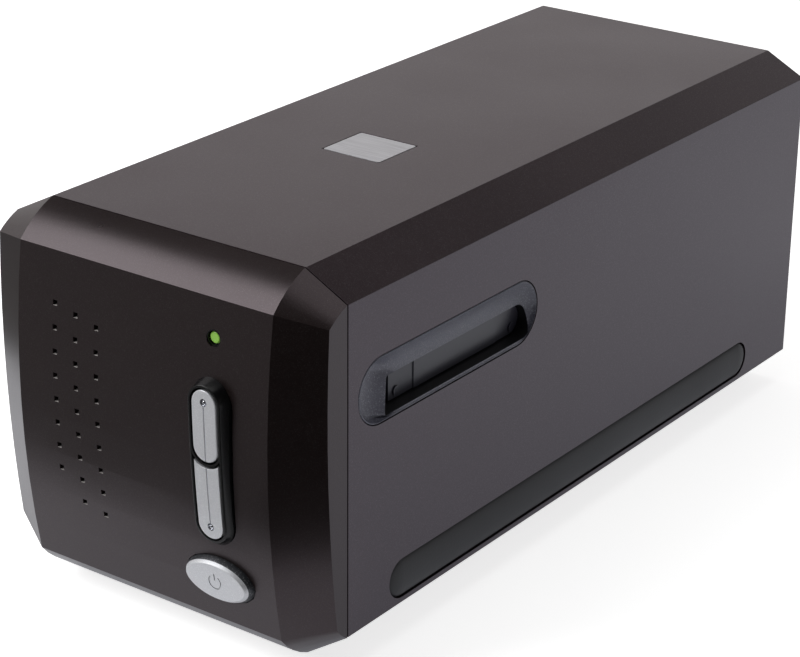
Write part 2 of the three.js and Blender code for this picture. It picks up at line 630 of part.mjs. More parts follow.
function makeTopCover() {
  const tube = housingTube(COVER_FRONT, REAR);
  const below = box(-OVERALL_WIDTH, OVERALL_WIDTH, FRONT, REAR + OVERRUN, 0, SIDE_LOW);
  const within = prism(section(WALL / 2), 'y', COVER_FRONT, REAR);
  const posts = postPlaces().map(([x, y]) => prism(disc(x, y, POST_RADIUS), 'z',
    FLOOR + TRAY_BOSS_HEIGHT + FIT_GAP, SHELL_TOP).intersect(within));
  const pilots = postPlaces().map(([x, y]) => prism(disc(x, y, SCREW_RADIUS + FIT_GAP), 'z',
    SHELL_LOW, SHELL_LOW + SCREW_HEAD_SINK + SCREW_LENGTH + FIT_GAP));
  const blockRear = PANEL_FRONT - FIT_GAP;
  const blocks = [-1, 1].map((side) => box(
    side * REAR_SCREW_X - REAR_BLOCK_WIDTH / 2, side * REAR_SCREW_X + REAR_BLOCK_WIDTH / 2,
    blockRear - REAR_BLOCK_LENGTH, blockRear,
    REAR_SCREW_HEIGHT - REAR_BLOCK_BELOW, SHELL_TOP - WALL / 2));
  const blockPilots = [-1, 1].map((side) => prism(
    disc(side * REAR_SCREW_X, REAR_SCREW_HEIGHT, SCREW_RADIUS + FIT_GAP), 'y',
    PANEL_REAR - REAR_SCREW_LENGTH - FIT_GAP, REAR));
  const slots = [-1, 1].map((side) => mirrored(prism(flatStadium(SEAM + SLOT_START - FIT_GAP,
    SEAM + SLOT_END + FIT_GAP, SLOT_LOW - FIT_GAP, SLOT_HIGH + FIT_GAP), 'x',
    SHELL_HALF - INSERT_DEPTH, SHELL_HALF + OVERRUN), side));
  const badge = box(-BADGE_WIDTH / 2 - FIT_GAP, BADGE_WIDTH / 2 + FIT_GAP,
    BADGE_Y - BADGE_LENGTH / 2 - FIT_GAP, BADGE_Y + BADGE_LENGTH / 2 + FIT_GAP,
    SHELL_TOP - BADGE_THICKNESS - FIT_GAP, SHELL_TOP + OVERRUN);
  const seats = [-1, 1].map((side) => gripSeat(side));
  return cutAll(tube.subtract(below).add(joinAll([...posts, ...blocks])),
    [...slots, badge, ...seats, ...pilots, ...blockPilots]);
}

function postPlaces() {
  const rows = [COVER_FRONT + POST_FROM_SEAM, REAR - POST_FROM_REAR];
  return rows.flatMap((y) => [-POST_X, POST_X].map((x) => [x, y]));
}

function footPlaces() {
  const rows = [SEAM + FOOT_FROM_SEAM, REAR - FOOT_FROM_REAR];
  return rows.flatMap((y) => [-FOOT_X, FOOT_X].map((x) => [x, y]));
}

function gripShape(grow) {
  const start = SEAM + GRIP_START;
  return flatStadium(start - grow, start + GRIP_LENGTH + grow,
    GRIP_CENTRE_HEIGHT - GRIP_HEIGHT / 2 - grow, GRIP_CENTRE_HEIGHT + GRIP_HEIGHT / 2 + grow);
}

function gripSeat(side) {
  const bottom = side * (SHELL_HALF - GRIP_SINK - FIT_GAP);
  const outside = side * (SHELL_HALF + OVERRUN);
  return prism(gripShape(FIT_GAP), 'x', Math.min(bottom, outside), Math.max(bottom, outside));
}

// The crown of a grip falls away towards its edge
function makeGrip(side) {
  const ring = (x, grow) => outlineOf(gripShape(grow)).map((p) => new THREE.Vector3(side * x, p.x, p.y));
  const crown = SHELL_HALF + GRIP_PROUD;
  return loft([
    ring(SHELL_HALF - GRIP_SINK, 0), ring(SHELL_HALF, 0),
    ring(crown - GRIP_SHOULDER_DROP, -GRIP_CROWN / 2), ring(crown, -GRIP_CROWN),
  ]);
}

function makeBaseTray() {
  const tube = housingTube(COVER_FRONT, REAR);
  const above = box(-OVERALL_WIDTH, OVERALL_WIDTH, FRONT, REAR + OVERRUN,
    SIDE_LOW - FIT_GAP, SHELL_TOP + OVERRUN);
  const boss = (radius, height) => ([x, y]) => prism(disc(x, y, radius), 'z',
    FLOOR - WALL / 2, FLOOR + height);
  const bosses = [
    ...postPlaces().map(boss(TRAY_BOSS_RADIUS, TRAY_BOSS_HEIGHT)),
    ...frameStandPlaces().map(boss(STANDOFF_RADIUS, FRAME_STAND - FIT_GAP)),
    ...mainBoardStandPlaces().map(boss(STANDOFF_RADIUS, MAIN_BOARD_STAND - FIT_GAP)),
  ];
  const cutters = postPlaces().flatMap(([x, y]) => [
    prism(disc(x, y, SCREW_HEAD_RADIUS + FIT_GAP), 'z',
      0, SHELL_LOW + SCREW_HEAD_SINK + SCREW_HEAD_HEIGHT + FIT_GAP),
    prism(disc(x, y, SCREW_RADIUS + FIT_GAP), 'z', 0, FLOOR + TRAY_BOSS_HEIGHT + OVERRUN),
  ]);
  const footSeats = footPlaces().map(([x, y]) => prism(disc(x, y, FOOT_RADIUS + FIT_GAP), 'z',
    0, SHELL_LOW + FOOT_SINK));
  return cutAll(tube.subtract(above).add(joinAll(bosses)), [...cutters, ...footSeats]);
}

function makeRearPanel() {
  const plate = prism(section(WALL + FIT_GAP), 'y', PANEL_FRONT, PANEL_REAR);
  const hole = (x, width, height) => box(x - width / 2 - FIT_GAP, x + width / 2 + FIT_GAP,
    PANEL_FRONT - OVERRUN, REAR + OVERRUN, SOCKET_LOW - FIT_GAP, SOCKET_LOW + height + FIT_GAP);
  const screws = [-1, 1].map((side) => prism(disc(side * REAR_SCREW_X, REAR_SCREW_HEIGHT,
    SCREW_RADIUS + FIT_GAP), 'y', PANEL_FRONT - OVERRUN, REAR + OVERRUN));
  const sockets = [hole(USB_X, USB_WIDTH, USB_HEIGHT), hole(JACK_X, JACK_WIDTH, JACK_HEIGHT)];
  return cutAll(plate, [...sockets, ...screws]);
}

// Film slot insert: a finger dish that falls towards a throat
const DOOR_START = SEAM + THROAT_START - DOOR_OVERLAP;
const DOOR_END = SEAM + THROAT_END + DOOR_OVERLAP;

function throatShape() {
  const radius = (THROAT_HIGH - THROAT_LOW) / 2;
  const shape = new THREE.Shape();
  shape.moveTo(SEAM + THROAT_START, THROAT_HIGH);
  shape.lineTo(SEAM + THROAT_START, THROAT_LOW);
  shape.absarc(SEAM + THROAT_END - radius, THROAT_LOW + radius, radius, -Math.PI / 2, Math.PI / 2, false);
  return shape;
}

function dishCutter() {
  const outer = outlineOf(flatStadium(SEAM + SLOT_START + FIT_GAP, SEAM + SLOT_END - FIT_GAP,
    SLOT_LOW + FIT_GAP, SLOT_HIGH - FIT_GAP));
  const middleY = (SLOT_START + SLOT_END) / 2 + SEAM;
  const middleZ = (SLOT_LOW + SLOT_HIGH) / 2;
  const inner = outer.map((point) => {
    const y = THREE.MathUtils.clamp(point.x, SEAM + THROAT_START, SEAM + THROAT_END);
    const z = THREE.MathUtils.clamp(point.y, THROAT_LOW, THROAT_HIGH);
    const above = THREE.MathUtils.clamp((point.y - middleZ) / (THROAT_HIGH - middleZ), 0, 1);
    const deep = point.x < middleY ? 1 : above;
    const low = point.y < THROAT_LOW && point.x > SEAM + THROAT_START ? 0 : deep;
    return new THREE.Vector3(SHELL_HALF - DISH_LIP_DEPTH - (DISH_DEPTH - DISH_LIP_DEPTH) * low, y, z);
  });
  const mouth = (x) => outer.map((point) => new THREE.Vector3(x, point.x, point.y));
  return loft([mouth(SHELL_HALF + OVERRUN), mouth(SHELL_HALF), inner]);
}

function mirrored(solid, side) {
  return side > 0 ? solid : solid.mirror([1, 0, 0]);
}

function makeSlotBezel(side) {
  const outline = (grow) => flatStadium(SEAM + SLOT_START - grow, SEAM + SLOT_END + grow,
    SLOT_LOW - grow, SLOT_HIGH + grow);
  const block = prism(outline(0), 'x', INSERT_BACK, SHELL_HALF)
    .add(prism(outline(INSERT_FLANGE), 'x', INSERT_BACK, SHELL_HALF - WALL - FIT_GAP));
  const ear = (from) => box(PIN_X - DOOR_BARREL_RADIUS, INSERT_BACK + FIT_GAP,
    from, from + DOOR_EAR_THICKNESS, PIN_HEIGHT - DOOR_BARREL_RADIUS, PIN_HEIGHT + DOOR_BARREL_RADIUS);
  const ears = [ear(DOOR_START - FIT_GAP - DOOR_EAR_THICKNESS), ear(DOOR_END + FIT_GAP)];
  const pinHole = prism(disc(0, 0, DOOR_PIN_RADIUS + FIT_GAP), 'y', DOOR_START - OVERRUN, DOOR_END + OVERRUN)
    .translate([PIN_X, 0, PIN_HEIGHT]);
  const throat = prism(throatShape(), 'x', 0, SHELL_HALF + OVERRUN);
  return mirrored(cutAll(block.add(joinAll(ears)), [dishCutter(), throat, pinHole]), side);
}

function makeDustDoor(side) {
  const face = INSERT_BACK - FIT_GAP - DOOR_PANEL_RAISE;
  const low = THROAT_LOW - DOOR_OVERLAP;
  const leaf = box(face - DOOR_THICKNESS, face, DOOR_START, DOOR_END, low, PIN_HEIGHT);
  const panel = box(face - DOOR_THICKNESS, face + DOOR_PANEL_RAISE, DOOR_START + DOOR_PANEL_MARGIN,
    DOOR_END - DOOR_PANEL_MARGIN, low, THROAT_HIGH);
  const clip = (y) => prism(disc(y, THROAT_LOW + DOOR_CLIP_RISE, DOOR_CLIP_RADIUS), 'x',
    face - DOOR_THICKNESS, face + DOOR_PANEL_RAISE);
  const barrel = prism(disc(PIN_X, PIN_HEIGHT, DOOR_BARREL_RADIUS), 'y', DOOR_START, DOOR_END);
  const bore = prism(disc(PIN_X, PIN_HEIGHT, DOOR_PIN_RADIUS + FIT_GAP), 'y', FRONT, REAR);
  const clips = [clip(DOOR_START + DOOR_CLIP_MARGIN), clip(DOOR_END - DOOR_CLIP_MARGIN)];
  return mirrored(joinAll([leaf, panel, ...clips, barrel]).subtract(bore), side);
}

function makeDoorPin(side) {
  return mirrored(prism(disc(PIN_X, PIN_HEIGHT, DOOR_PIN_RADIUS), 'y',
    DOOR_START - FIT_GAP - DOOR_EAR_THICKNESS, DOOR_END + FIT_GAP + DOOR_EAR_THICKNESS), side);
}

// Buttons: a bevelled cap, with a stem that ends just short of its switch
function capOf(shape, front, back, bevel) {
  const outline = shape(0);
  const ring = (y, points) => points.map((p) => new THREE.Vector3(p.x, y, p.y));
  const middle = new THREE.Vector2();
  const points = outlineOf(outline);
  points.forEach((point) => middle.add(point));
  middle.divideScalar(points.length);
  const inner = points.map((point) => {
    const inward = middle.clone().sub(point);
    return point.clone().addScaledVector(inward.normalize(), bevel);
  });
  return loft([ring(back, points), ring(front + bevel, points), ring(front, inner)]);
}

function stemAt(z, front) {
  return prism(disc(CONTROL_X, z, STEM_RADIUS), 'y', front, STEM_TIP);
}

function makeScanButton(shape, stemHeight, grooveLow, grooveHigh, dimpleHeight) {
  const body = prism(shape(0), 'y', BUTTON_FRONT + BUTTON_BEVEL, BUTTON_FRONT + BUTTON_THICKNESS);
  const cap = prism(shape(-BUTTON_BEVEL), 'y', BUTTON_FRONT, BUTTON_FRONT + BUTTON_THICKNESS);
  const stem = stemAt(stemHeight, BUTTON_FRONT + BUTTON_THICKNESS - BUTTON_BEVEL);
  const groove = box(CONTROL_X - GROOVE_WIDTH / 2, CONTROL_X + GROOVE_WIDTH / 2, BUTTON_FRONT - OVERRUN,
    BUTTON_FRONT + GROOVE_DEPTH, grooveLow, grooveHigh);
  const ball = new THREE.SphereGeometry(DIMPLE_RADIUS, ARC_STEPS * 2, ARC_STEPS);
  ball.translate(CONTROL_X, BUTTON_FRONT, dimpleHeight);
  return cutAll(joinAll([body, cap, stem]), [groove, toSolid(ball)]);
}

function makeUpperButton() {
  const dimple = UPPER_BUTTON_TOP - DIMPLE_INSET;
  return makeScanButton(upperButtonShape, UPPER_SWITCH_HEIGHT, UPPER_BUTTON_BOTTOM, dimple, dimple);
}

function makeLowerButton() {
  const dimple = LOWER_BUTTON_BOTTOM + DIMPLE_INSET;
  return makeScanButton(lowerButtonShape, LOWER_SWITCH_HEIGHT, dimple, UPPER_BUTTON_BOTTOM, dimple);
}

function makeCollar() {
  const ring = prism(collarShape(0), 'y', COLLAR_FRONT, COLLAR_BACK);
  const flange = prism(collarShape(COLLAR_FLANGE), 'y', COLLAR_FLANGE_FRONT, COLLAR_BACK);
  const pockets = [upperButtonShape, lowerButtonShape].map((shape) => prism(shape(BUTTON_GAP), 'y',
    FRONT - OVERRUN, COLLAR_BACK + OVERRUN));
  return cutAll(ring.add(flange), pockets);
}

function makePowerButton() {
  const shape = (grow) => oval(CONTROL_X, POWER_HEIGHT, POWER_HALF_WIDTH + grow, POWER_HALF_HEIGHT + grow);
  const front = SEAM - faceDepth(POWER_HEIGHT) - POWER_PROUD;
  const flangeFront = SEAM - faceDepth(POWER_HEIGHT - POWER_HALF_HEIGHT) + WALL + FIT_GAP;
  const cap = capOf(shape, front, flangeFront, POWER_BEVEL);
  const flange = prism(shape(COLLAR_FLANGE), 'y', flangeFront, flangeFront + COLLAR_FLANGE);
  return joinAll([cap, flange, stemAt(POWER_HEIGHT, flangeFront + COLLAR_FLANGE / 2)]);
}

function makeLightPipe() {
  const inside = SEAM - faceDepth(LAMP_HEIGHT + LIGHT_PIPE_FLANGE_RADIUS) + WALL + FIT_GAP;
  const front = SEAM - faceDepth(LAMP_HEIGHT) + LIGHT_PIPE_SINK;
  const rod = prism(disc(CONTROL_X, LAMP_HEIGHT, LIGHT_PIPE_RADIUS), 'y', front, BOARD_FRONT - FIT_GAP);
  const flange = prism(disc(CONTROL_X, LAMP_HEIGHT, LIGHT_PIPE_FLANGE_RADIUS), 'y', inside,
    inside + COLLAR_FLANGE);
  const dome = new THREE.SphereGeometry(LIGHT_PIPE_RADIUS, ARC_STEPS * 2, ARC_STEPS);
  dome.scale(1, LIGHT_PIPE_SINK / LIGHT_PIPE_RADIUS, 1);
  dome.translate(CONTROL_X, front, LAMP_HEIGHT);
  return joinAll([rod, flange, toSolid(dome)]);
}

function makeButtonBoard() {
  return box(BUTTON_BOARD_LEFT, BUTTON_BOARD_RIGHT, BOARD_FRONT, BOARD_FRONT + BOARD_THICKNESS,
    BUTTON_BOARD_LOW, BUTTON_BOARD_HIGH);
}

function makeSwitch(z) {
  const back = BOARD_FRONT - FIT_GAP;
  const body = box(CONTROL_X - SWITCH_SIDE / 2, CONTROL_X + SWITCH_SIDE / 2, back - SWITCH_HEIGHT, back,
    z - SWITCH_SIDE / 2, z + SWITCH_SIDE / 2);
  return body.add(prism(disc(CONTROL_X, z, SWITCH_NUB_RADIUS), 'y', NUB_TIP, back - SWITCH_HEIGHT / 2));
}

function makeBadge() {
  return box(-BADGE_WIDTH / 2, BADGE_WIDTH / 2, BADGE_Y - BADGE_LENGTH / 2, BADGE_Y + BADGE_LENGTH / 2,
    SHELL_TOP - BADGE_THICKNESS, SHELL_TOP);
}

function makeFoot([x, y]) {
  return prism(disc(x, y, FOOT_RADIUS), 'z', 0, SHELL_LOW + FOOT_SINK - FIT_GAP);
}

function makeCoverScrew([x, y]) {
  const headLow = SHELL_LOW + SCREW_HEAD_SINK;
  const head = prism(disc(x, y, SCREW_HEAD_RADIUS), 'z', headLow, headLow + SCREW_HEAD_HEIGHT);
  return head.add(prism(disc(x, y, SCREW_RADIUS), 'z',
    headLow + SCREW_HEAD_HEIGHT / 2, headLow + SCREW_LENGTH));
}

function makeRearScrew(side) {
  const x = side * REAR_SCREW_X;
  const headFront = PANEL_REAR + FIT_GAP;
  const headRear = REAR;
  const head = prism(disc(x, REAR_SCREW_HEIGHT, SCREW_HEAD_RADIUS), 'y', headFront, headRear);
  return head.add(prism(disc(x, REAR_SCREW_HEIGHT, SCREW_RADIUS), 'y', PANEL_REAR - REAR_SCREW_LENGTH,
    headFront + FIT_GAP));
}

// Scan frame: base plate, two end walls for the rods and four columns for the film guide
function frameStandPlaces() {
  const standX = FRAME_COLUMN_X - FRAME_COLUMN;
  const rows = [FRAME_FRONT + FRAME_COLUMN, FRAME_REAR - FRAME_COLUMN];
  return rows.flatMap((y) => [-standX, standX].map((x) => [x, y]));
}

function columnPlaces() {
  const away = FILM_HALF - FRAME_COLUMN / 2;
  return [FILM_Y - away, FILM_Y + away].flatMap((y) => [-FRAME_COLUMN_X, FRAME_COLUMN_X].map((x) => [x, y]));
}

function makeScanFrame() {
  const half = FRAME_HALF_WIDTH;
  const plate = box(-half, half, FRAME_FRONT, FRAME_REAR, FRAME_LOW, FRAME_TOP);
  const wallTop = ROD_HEIGHT + ROD_RADIUS + FRAME_WALL_ABOVE_ROD;
  const frontWall = box(-half, half, FRAME_FRONT, FRAME_FRONT + FRAME_WALL, FRAME_LOW, wallTop);
  const rearWall = box(-half, half, FRAME_REAR - FRAME_WALL, FRAME_REAR, FRAME_LOW, wallTop);
  const columns = columnPlaces().map(([x, y]) => box(x - FRAME_COLUMN / 2, x + FRAME_COLUMN / 2,
    y - FRAME_COLUMN / 2, y + FRAME_COLUMN / 2, FRAME_LOW, GUIDE_LOW - FIT_GAP));
  const rods = [-ROD_X, ROD_X].map((x) => prism(disc(x, ROD_HEIGHT, ROD_RADIUS + FIT_GAP), 'y', FRONT, REAR));
  const shaft = prism(disc(0, SCREW_HEIGHT, LEAD_SCREW_RADIUS + FIT_GAP), 'y', 0, REAR);
  return cutAll(joinAll([plate, frontWall, rearWall, ...columns]), [...rods, shaft]);
}

function makeGuideRod(x) {
  return prism(disc(x, ROD_HEIGHT, ROD_RADIUS), 'y', FRAME_FRONT, FRAME_REAR);
}

function makeFilmGuide() {
  const edge = FILM_HALF + GUIDE_RAIL;
  const plate = box(-FRAME_HALF_WIDTH, FRAME_HALF_WIDTH, FILM_Y - edge, FILM_Y + edge,
    GUIDE_LOW, GUIDE_LOW + GUIDE_PLATE);
  const bed = box(-GUIDE_HALF_LENGTH, GUIDE_HALF_LENGTH, FILM_Y - edge, FILM_Y + edge, GUIDE_LOW, GUIDE_TOP);
  const rails = [FILM_Y - edge, FILM_Y + FILM_HALF].map((y) => box(-GUIDE_HALF_LENGTH, GUIDE_HALF_LENGTH,
    y, y + GUIDE_RAIL, GUIDE_LOW, GUIDE_TOP + GUIDE_RAIL_HEIGHT));
  const aperture = box(-APERTURE_WIDTH / 2, APERTURE_WIDTH / 2, FILM_Y - APERTURE_LENGTH / 2,
    FILM_Y + APERTURE_LENGTH / 2, 0, GUIDE_TOP + OVERRUN);
  return cutAll(joinAll([plate, bed, ...rails]), [aperture]);
}

// Carriage: an open tray under the film, two columns behind it and an arm that carries the lamp above
function makeCarriageFrame() {
  const half = CARRIAGE_HALF_WIDTH;
  const inner = half - CARRIAGE_WALL;
  const floorTop = CARRIAGE_LOW + CARRIAGE_WALL;
  const tray = box(-half, half, CARRIAGE_FRONT, CARRIAGE_REAR, CARRIAGE_LOW, CARRIAGE_HIGH)
    .subtract(box(-inner, inner, CARRIAGE_FRONT - OVERRUN, CARRIAGE_REAR - CARRIAGE_WALL,
      floorTop, CARRIAGE_HIGH + OVERRUN));
  const columnRear = COLUMN_FRONT + COLUMN_LENGTH;
  const columns = [-half, half - COLUMN_WIDTH].map((x) => box(x, x + COLUMN_WIDTH, COLUMN_FRONT, columnRear,
    CARRIAGE_LOW, ARM_HIGH));
  const bar = box(-half, half, COLUMN_FRONT, columnRear, ARM_LOW, ARM_HIGH);
  const arm = box(-ARM_HALF_WIDTH, ARM_HALF_WIDTH, FILM_Y - ARM_AHEAD, columnRear,
    ARM_LOW, ARM_HIGH);
  const bushEnd = ROD_X + ROD_RADIUS + BUSH_WALL;
  const bushStarts = [FILM_Y + FRONT_BUSH_BACK, CARRIAGE_REAR - REAR_BUSH_INSET - BUSH_LENGTH];
  const bushes = [-1, 1].flatMap((side) => bushStarts.map((start) => box(
    Math.min(side * inner, side * bushEnd), Math.max(side * inner, side * bushEnd),
    start, start + BUSH_LENGTH, ROD_HEIGHT - BUSH_HALF_HEIGHT, ROD_HEIGHT + BUSH_HALF_HEIGHT)));
  const wedgeDrop = (MIRROR_THICKNESS / 2 + FIT_GAP) * Math.SQRT2;
  const wedgeBack = MIRROR_HALF_LENGTH / Math.SQRT2;
  const wedgeTop = MIRROR_HEIGHT + wedgeBack - wedgeDrop;
  const wedgeFoot = FILM_Y + MIRROR_HEIGHT - wedgeDrop - floorTop;
  const wedgeRoot = floorTop - CARRIAGE_WALL / 2;
  const wedge = prism(polygon([
    [FILM_Y - wedgeBack - CARRIAGE_WALL, wedgeRoot], [wedgeFoot, wedgeRoot], [wedgeFoot, floorTop],
    [FILM_Y - wedgeBack, wedgeTop], [FILM_Y - wedgeBack - CARRIAGE_WALL, wedgeTop],
  ]), 'x', -MIRROR_HALF_WIDTH, MIRROR_HALF_WIDTH);
  const cradle = box(-CRADLE_HALF_WIDTH, CRADLE_HALF_WIDTH, LENS_FRONT + CARRIAGE_WALL,
    LENS_FRONT + LENS_LENGTH - CARRIAGE_WALL, floorTop - CARRIAGE_WALL / 2, LENS_HEIGHT)
    .subtract(prism(disc(0, LENS_HEIGHT, LENS_RADIUS + FIT_GAP), 'y', FRONT, REAR));
  const rods = [-ROD_X, ROD_X].map((x) => prism(disc(x, ROD_HEIGHT, ROD_RADIUS + FIT_GAP), 'y', FRONT, REAR));
  const screw = prism(disc(0, SCREW_HEIGHT, LEAD_SCREW_RADIUS + LEAD_SCREW_PASS_GAP), 'y',
    CARRIAGE_REAR - CARRIAGE_WALL - OVERRUN, REAR);
  return cutAll(joinAll([tray, ...columns, bar, arm, ...bushes, wedge, cradle]), [...rods, screw]);
}

function makeMirror() {
  const plate = new THREE.BoxGeometry(2 * MIRROR_HALF_WIDTH, 2 * MIRROR_HALF_LENGTH, MIRROR_THICKNESS);
  plate.rotateX(-Math.PI / 4);
  plate.translate(0, FILM_Y, MIRROR_HEIGHT);
  return toSolid(plate);
}

function makeLensBarrel() {
  const barrel = prism(disc(0, LENS_HEIGHT, LENS_RADIUS), 'y', LENS_FRONT, LENS_FRONT + LENS_LENGTH);
  return barrel.subtract(prism(disc(0, LENS_HEIGHT, LENS_BORE_RADIUS), 'y', FRONT, REAR));
}

function makeSensorBoard() {
  const half = CARRIAGE_HALF_WIDTH - CARRIAGE_WALL - FIT_GAP;
  return box(-half, half, SENSOR_FRONT, SENSOR_FRONT + BOARD_THICKNESS,
    CARRIAGE_LOW + CARRIAGE_WALL + FIT_GAP, CARRIAGE_HIGH - SENSOR_BELOW_RIM);
}

function makeLampBoard() {
  const top = ARM_LOW - FIT_GAP;
  return box(-LAMP_HALF_WIDTH, LAMP_HALF_WIDTH, FILM_Y - LAMP_HALF_LENGTH, FILM_Y + LAMP_HALF_LENGTH,
    top - BOARD_THICKNESS, top);
}

function makeDiffuser() {
  return box(-LAMP_HALF_WIDTH, LAMP_HALF_WIDTH, FILM_Y - LAMP_HALF_LENGTH, FILM_Y + LAMP_HALF_LENGTH,
    LAMP_LOW, LAMP_LOW + DIFFUSER_THICKNESS);
}

// Drive: a nut on the carriage, a screw and a stepper motor behind the frame
function makeDriveNut() {
  const start = CARRIAGE_REAR + FIT_GAP;
  return prism(disc(0, SCREW_HEIGHT, NUT_RADIUS), 'y', start, start + NUT_LENGTH)
    .subtract(prism(disc(0, SCREW_HEIGHT, LEAD_SCREW_RADIUS + FIT_GAP), 'y', FRONT, REAR));
}

function makeLeadScrew() {
  return prism(disc(0, SCREW_HEIGHT, LEAD_SCREW_RADIUS), 'y', SCREW_TIP, FRAME_REAR);
}

function makeStepperMotor() {
  const start = FRAME_REAR + FIT_GAP;
  return prism(disc(0, SCREW_HEIGHT, MOTOR_RADIUS), 'y', start, start + MOTOR_LENGTH);
}

function mainBoardStandPlaces() {
  const front = MAIN_BOARD_REAR - MAIN_BOARD_LENGTH + STANDOFF_INSET;
  const x = MAIN_BOARD_HALF_WIDTH - STANDOFF_INSET;
  return [front, MAIN_BOARD_REAR - STANDOFF_INSET].flatMap((y) => [[-x, y], [x, y]]);
}

function makeMainBoard() {
  return box(-MAIN_BOARD_HALF_WIDTH, MAIN_BOARD_HALF_WIDTH,
    MAIN_BOARD_REAR - MAIN_BOARD_LENGTH, MAIN_BOARD_REAR, MAIN_BOARD_LOW, MAIN_BOARD_LOW + BOARD_THICKNESS);
}

function makeUsbSocket() {
  const half = USB_WIDTH / 2;
  const block = box(USB_X - half, USB_X + half, PANEL_REAR - USB_LENGTH, PANEL_REAR,
    SOCKET_LOW, SOCKET_LOW + USB_HEIGHT);
  const inner = half - USB_WALL;
  const mouth = box(USB_X - inner, USB_X + inner, PANEL_REAR - SOCKET_BORE_DEPTH, REAR + OVERRUN,
    SOCKET_LOW + USB_WALL, SOCKET_LOW + USB_HEIGHT - USB_WALL);
  const centre = SOCKET_LOW + USB_HEIGHT / 2;
  const tongue = box(USB_X - USB_TONGUE_HALF_WIDTH, USB_X + USB_TONGUE_HALF_WIDTH,
    PANEL_REAR - SOCKET_BORE_DEPTH - USB_WALL, PANEL_REAR - SOCKET_TIP_SINK,
    centre - USB_TONGUE_HALF_HEIGHT, centre + USB_TONGUE_HALF_HEIGHT);
  return block.subtract(mouth).add(tongue);
}

function makePowerJack() {
  const half = JACK_WIDTH / 2;
  const block = box(JACK_X - half, JACK_X + half, PANEL_REAR - JACK_LENGTH, PANEL_REAR,
    SOCKET_LOW, SOCKET_LOW + JACK_HEIGHT);
  const centre = SOCKET_LOW + JACK_HEIGHT / 2;
  const bore = prism(disc(JACK_X, centre, JACK_BORE_RADIUS), 'y',
    PANEL_REAR - SOCKET_BORE_DEPTH, REAR + OVERRUN);
  const pin = prism(disc(JACK_X, centre, JACK_PIN_RADIUS), 'y',
    PANEL_REAR - SOCKET_BORE_DEPTH - JACK_PIN_RADIUS, PANEL_REAR - SOCKET_TIP_SINK);
  return block.subtract(bore).add(pin);
}

// The whole scanner
const scanner = new THREE.Group();

function put(name, solid, finish) {
  scanner.add(toMesh(name, solid, finish));
}

put('top_cover', makeTopCover(), 'shell');
put('front_bezel', makeFrontBezel(), 'bezel');
put('base_tray', makeBaseTray(), 'shell');
put('rear_panel', makeRearPanel(), 'black');
for (const [name, side] of [['right', 1], ['left', -1]]) {
  put(`${name}_slot_bezel`, makeSlotBezel(side), 'black');
  put(`${name}_dust_door`, makeDustDoor(side), 'black');
  put(`${name}_door_pin`, makeDoorPin(side), 'steel');
  put(`${name}_side_grip`, makeGrip(side), 'rubber');
}
put('button_collar', makeCollar(), 'black');
put('upper_scan_button', makeUpperButton(), 'silver');
put('lower_scan_button', makeLowerButton(), 'silver');
put('power_button', makePowerButton(), 'silver');
put('light_pipe', makeLightPipe(), 'lamp');
put('button_board', makeButtonBoard(), 'board');
put('upper_switch', makeSwitch(UPPER_SWITCH_HEIGHT), 'black');
put('lower_switch', makeSwitch(LOWER_SWITCH_HEIGHT), 'black');
put('power_switch', makeSwitch(POWER_HEIGHT), 'black');
put('badge_plate', makeBadge(), 'silver');
const corners = ['front_left', 'front_right', 'rear_left', 'rear_right'];
footPlaces().forEach((place, i) => put(`foot_${corners[i]}`, makeFoot(place), 'rubber'));
postPlaces().forEach((place, i) => put(`cover_screw_${corners[i]}`, makeCoverScrew(place), 'steel'));
put('rear_screw_right', makeRearScrew(1), 'steel');
put('rear_screw_left', makeRearScrew(-1), 'steel');
put('scan_frame', makeScanFrame(), 'frame');
put('guide_rod_left', makeGuideRod(-ROD_X), 'steel');
put('guide_rod_right', makeGuideRod(ROD_X), 'steel');
put('film_guide', makeFilmGuide(), 'black');
put('carriage_frame', makeCarriageFrame(), 'black');
put('mirror', makeMirror(), 'mirror');
put('lens_barrel', makeLensBarrel(), 'black');
put('sensor_board', makeSensorBoard(), 'board');
put('lamp_board', makeLampBoard(), 'board');
put('diffuser', makeDiffuser(), 'white');
put('drive_nut', makeDriveNut(), 'brass');
put('lead_screw', makeLeadScrew(), 'steel');
put('stepper_motor', makeStepperMotor(), 'steel');
put('main_board', makeMainBoard(), 'board');
put('usb_socket', makeUsbSocket(), 'steel');
put('power_jack', makePowerJack(), 'black');

export default scanner;
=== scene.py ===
"""Film negative scanner: the looks of its pieces, the studio and the camera, round the CAD frame.

Sizes are in millimetres in the classes and become metres when a piece is finished. A piece is
drawn flat, with u across, v up and w outwards. The studio and the camera are in metres.
"""

import json
import logging
import math
from collections.abc import Callable, Iterable, Sequence
from dataclasses import dataclass
from enum import Enum

import bmesh
import bpy
from bmesh.types import BMEdge, BMesh, BMFace, BMVert
from bpy.types import ID, Material, MeshPolygon, Node, NodeOutputs, NodeSocket, NodeTree, Object
from mathutils import Matrix, Vector
from mathutils.bvhtree import BVHTree

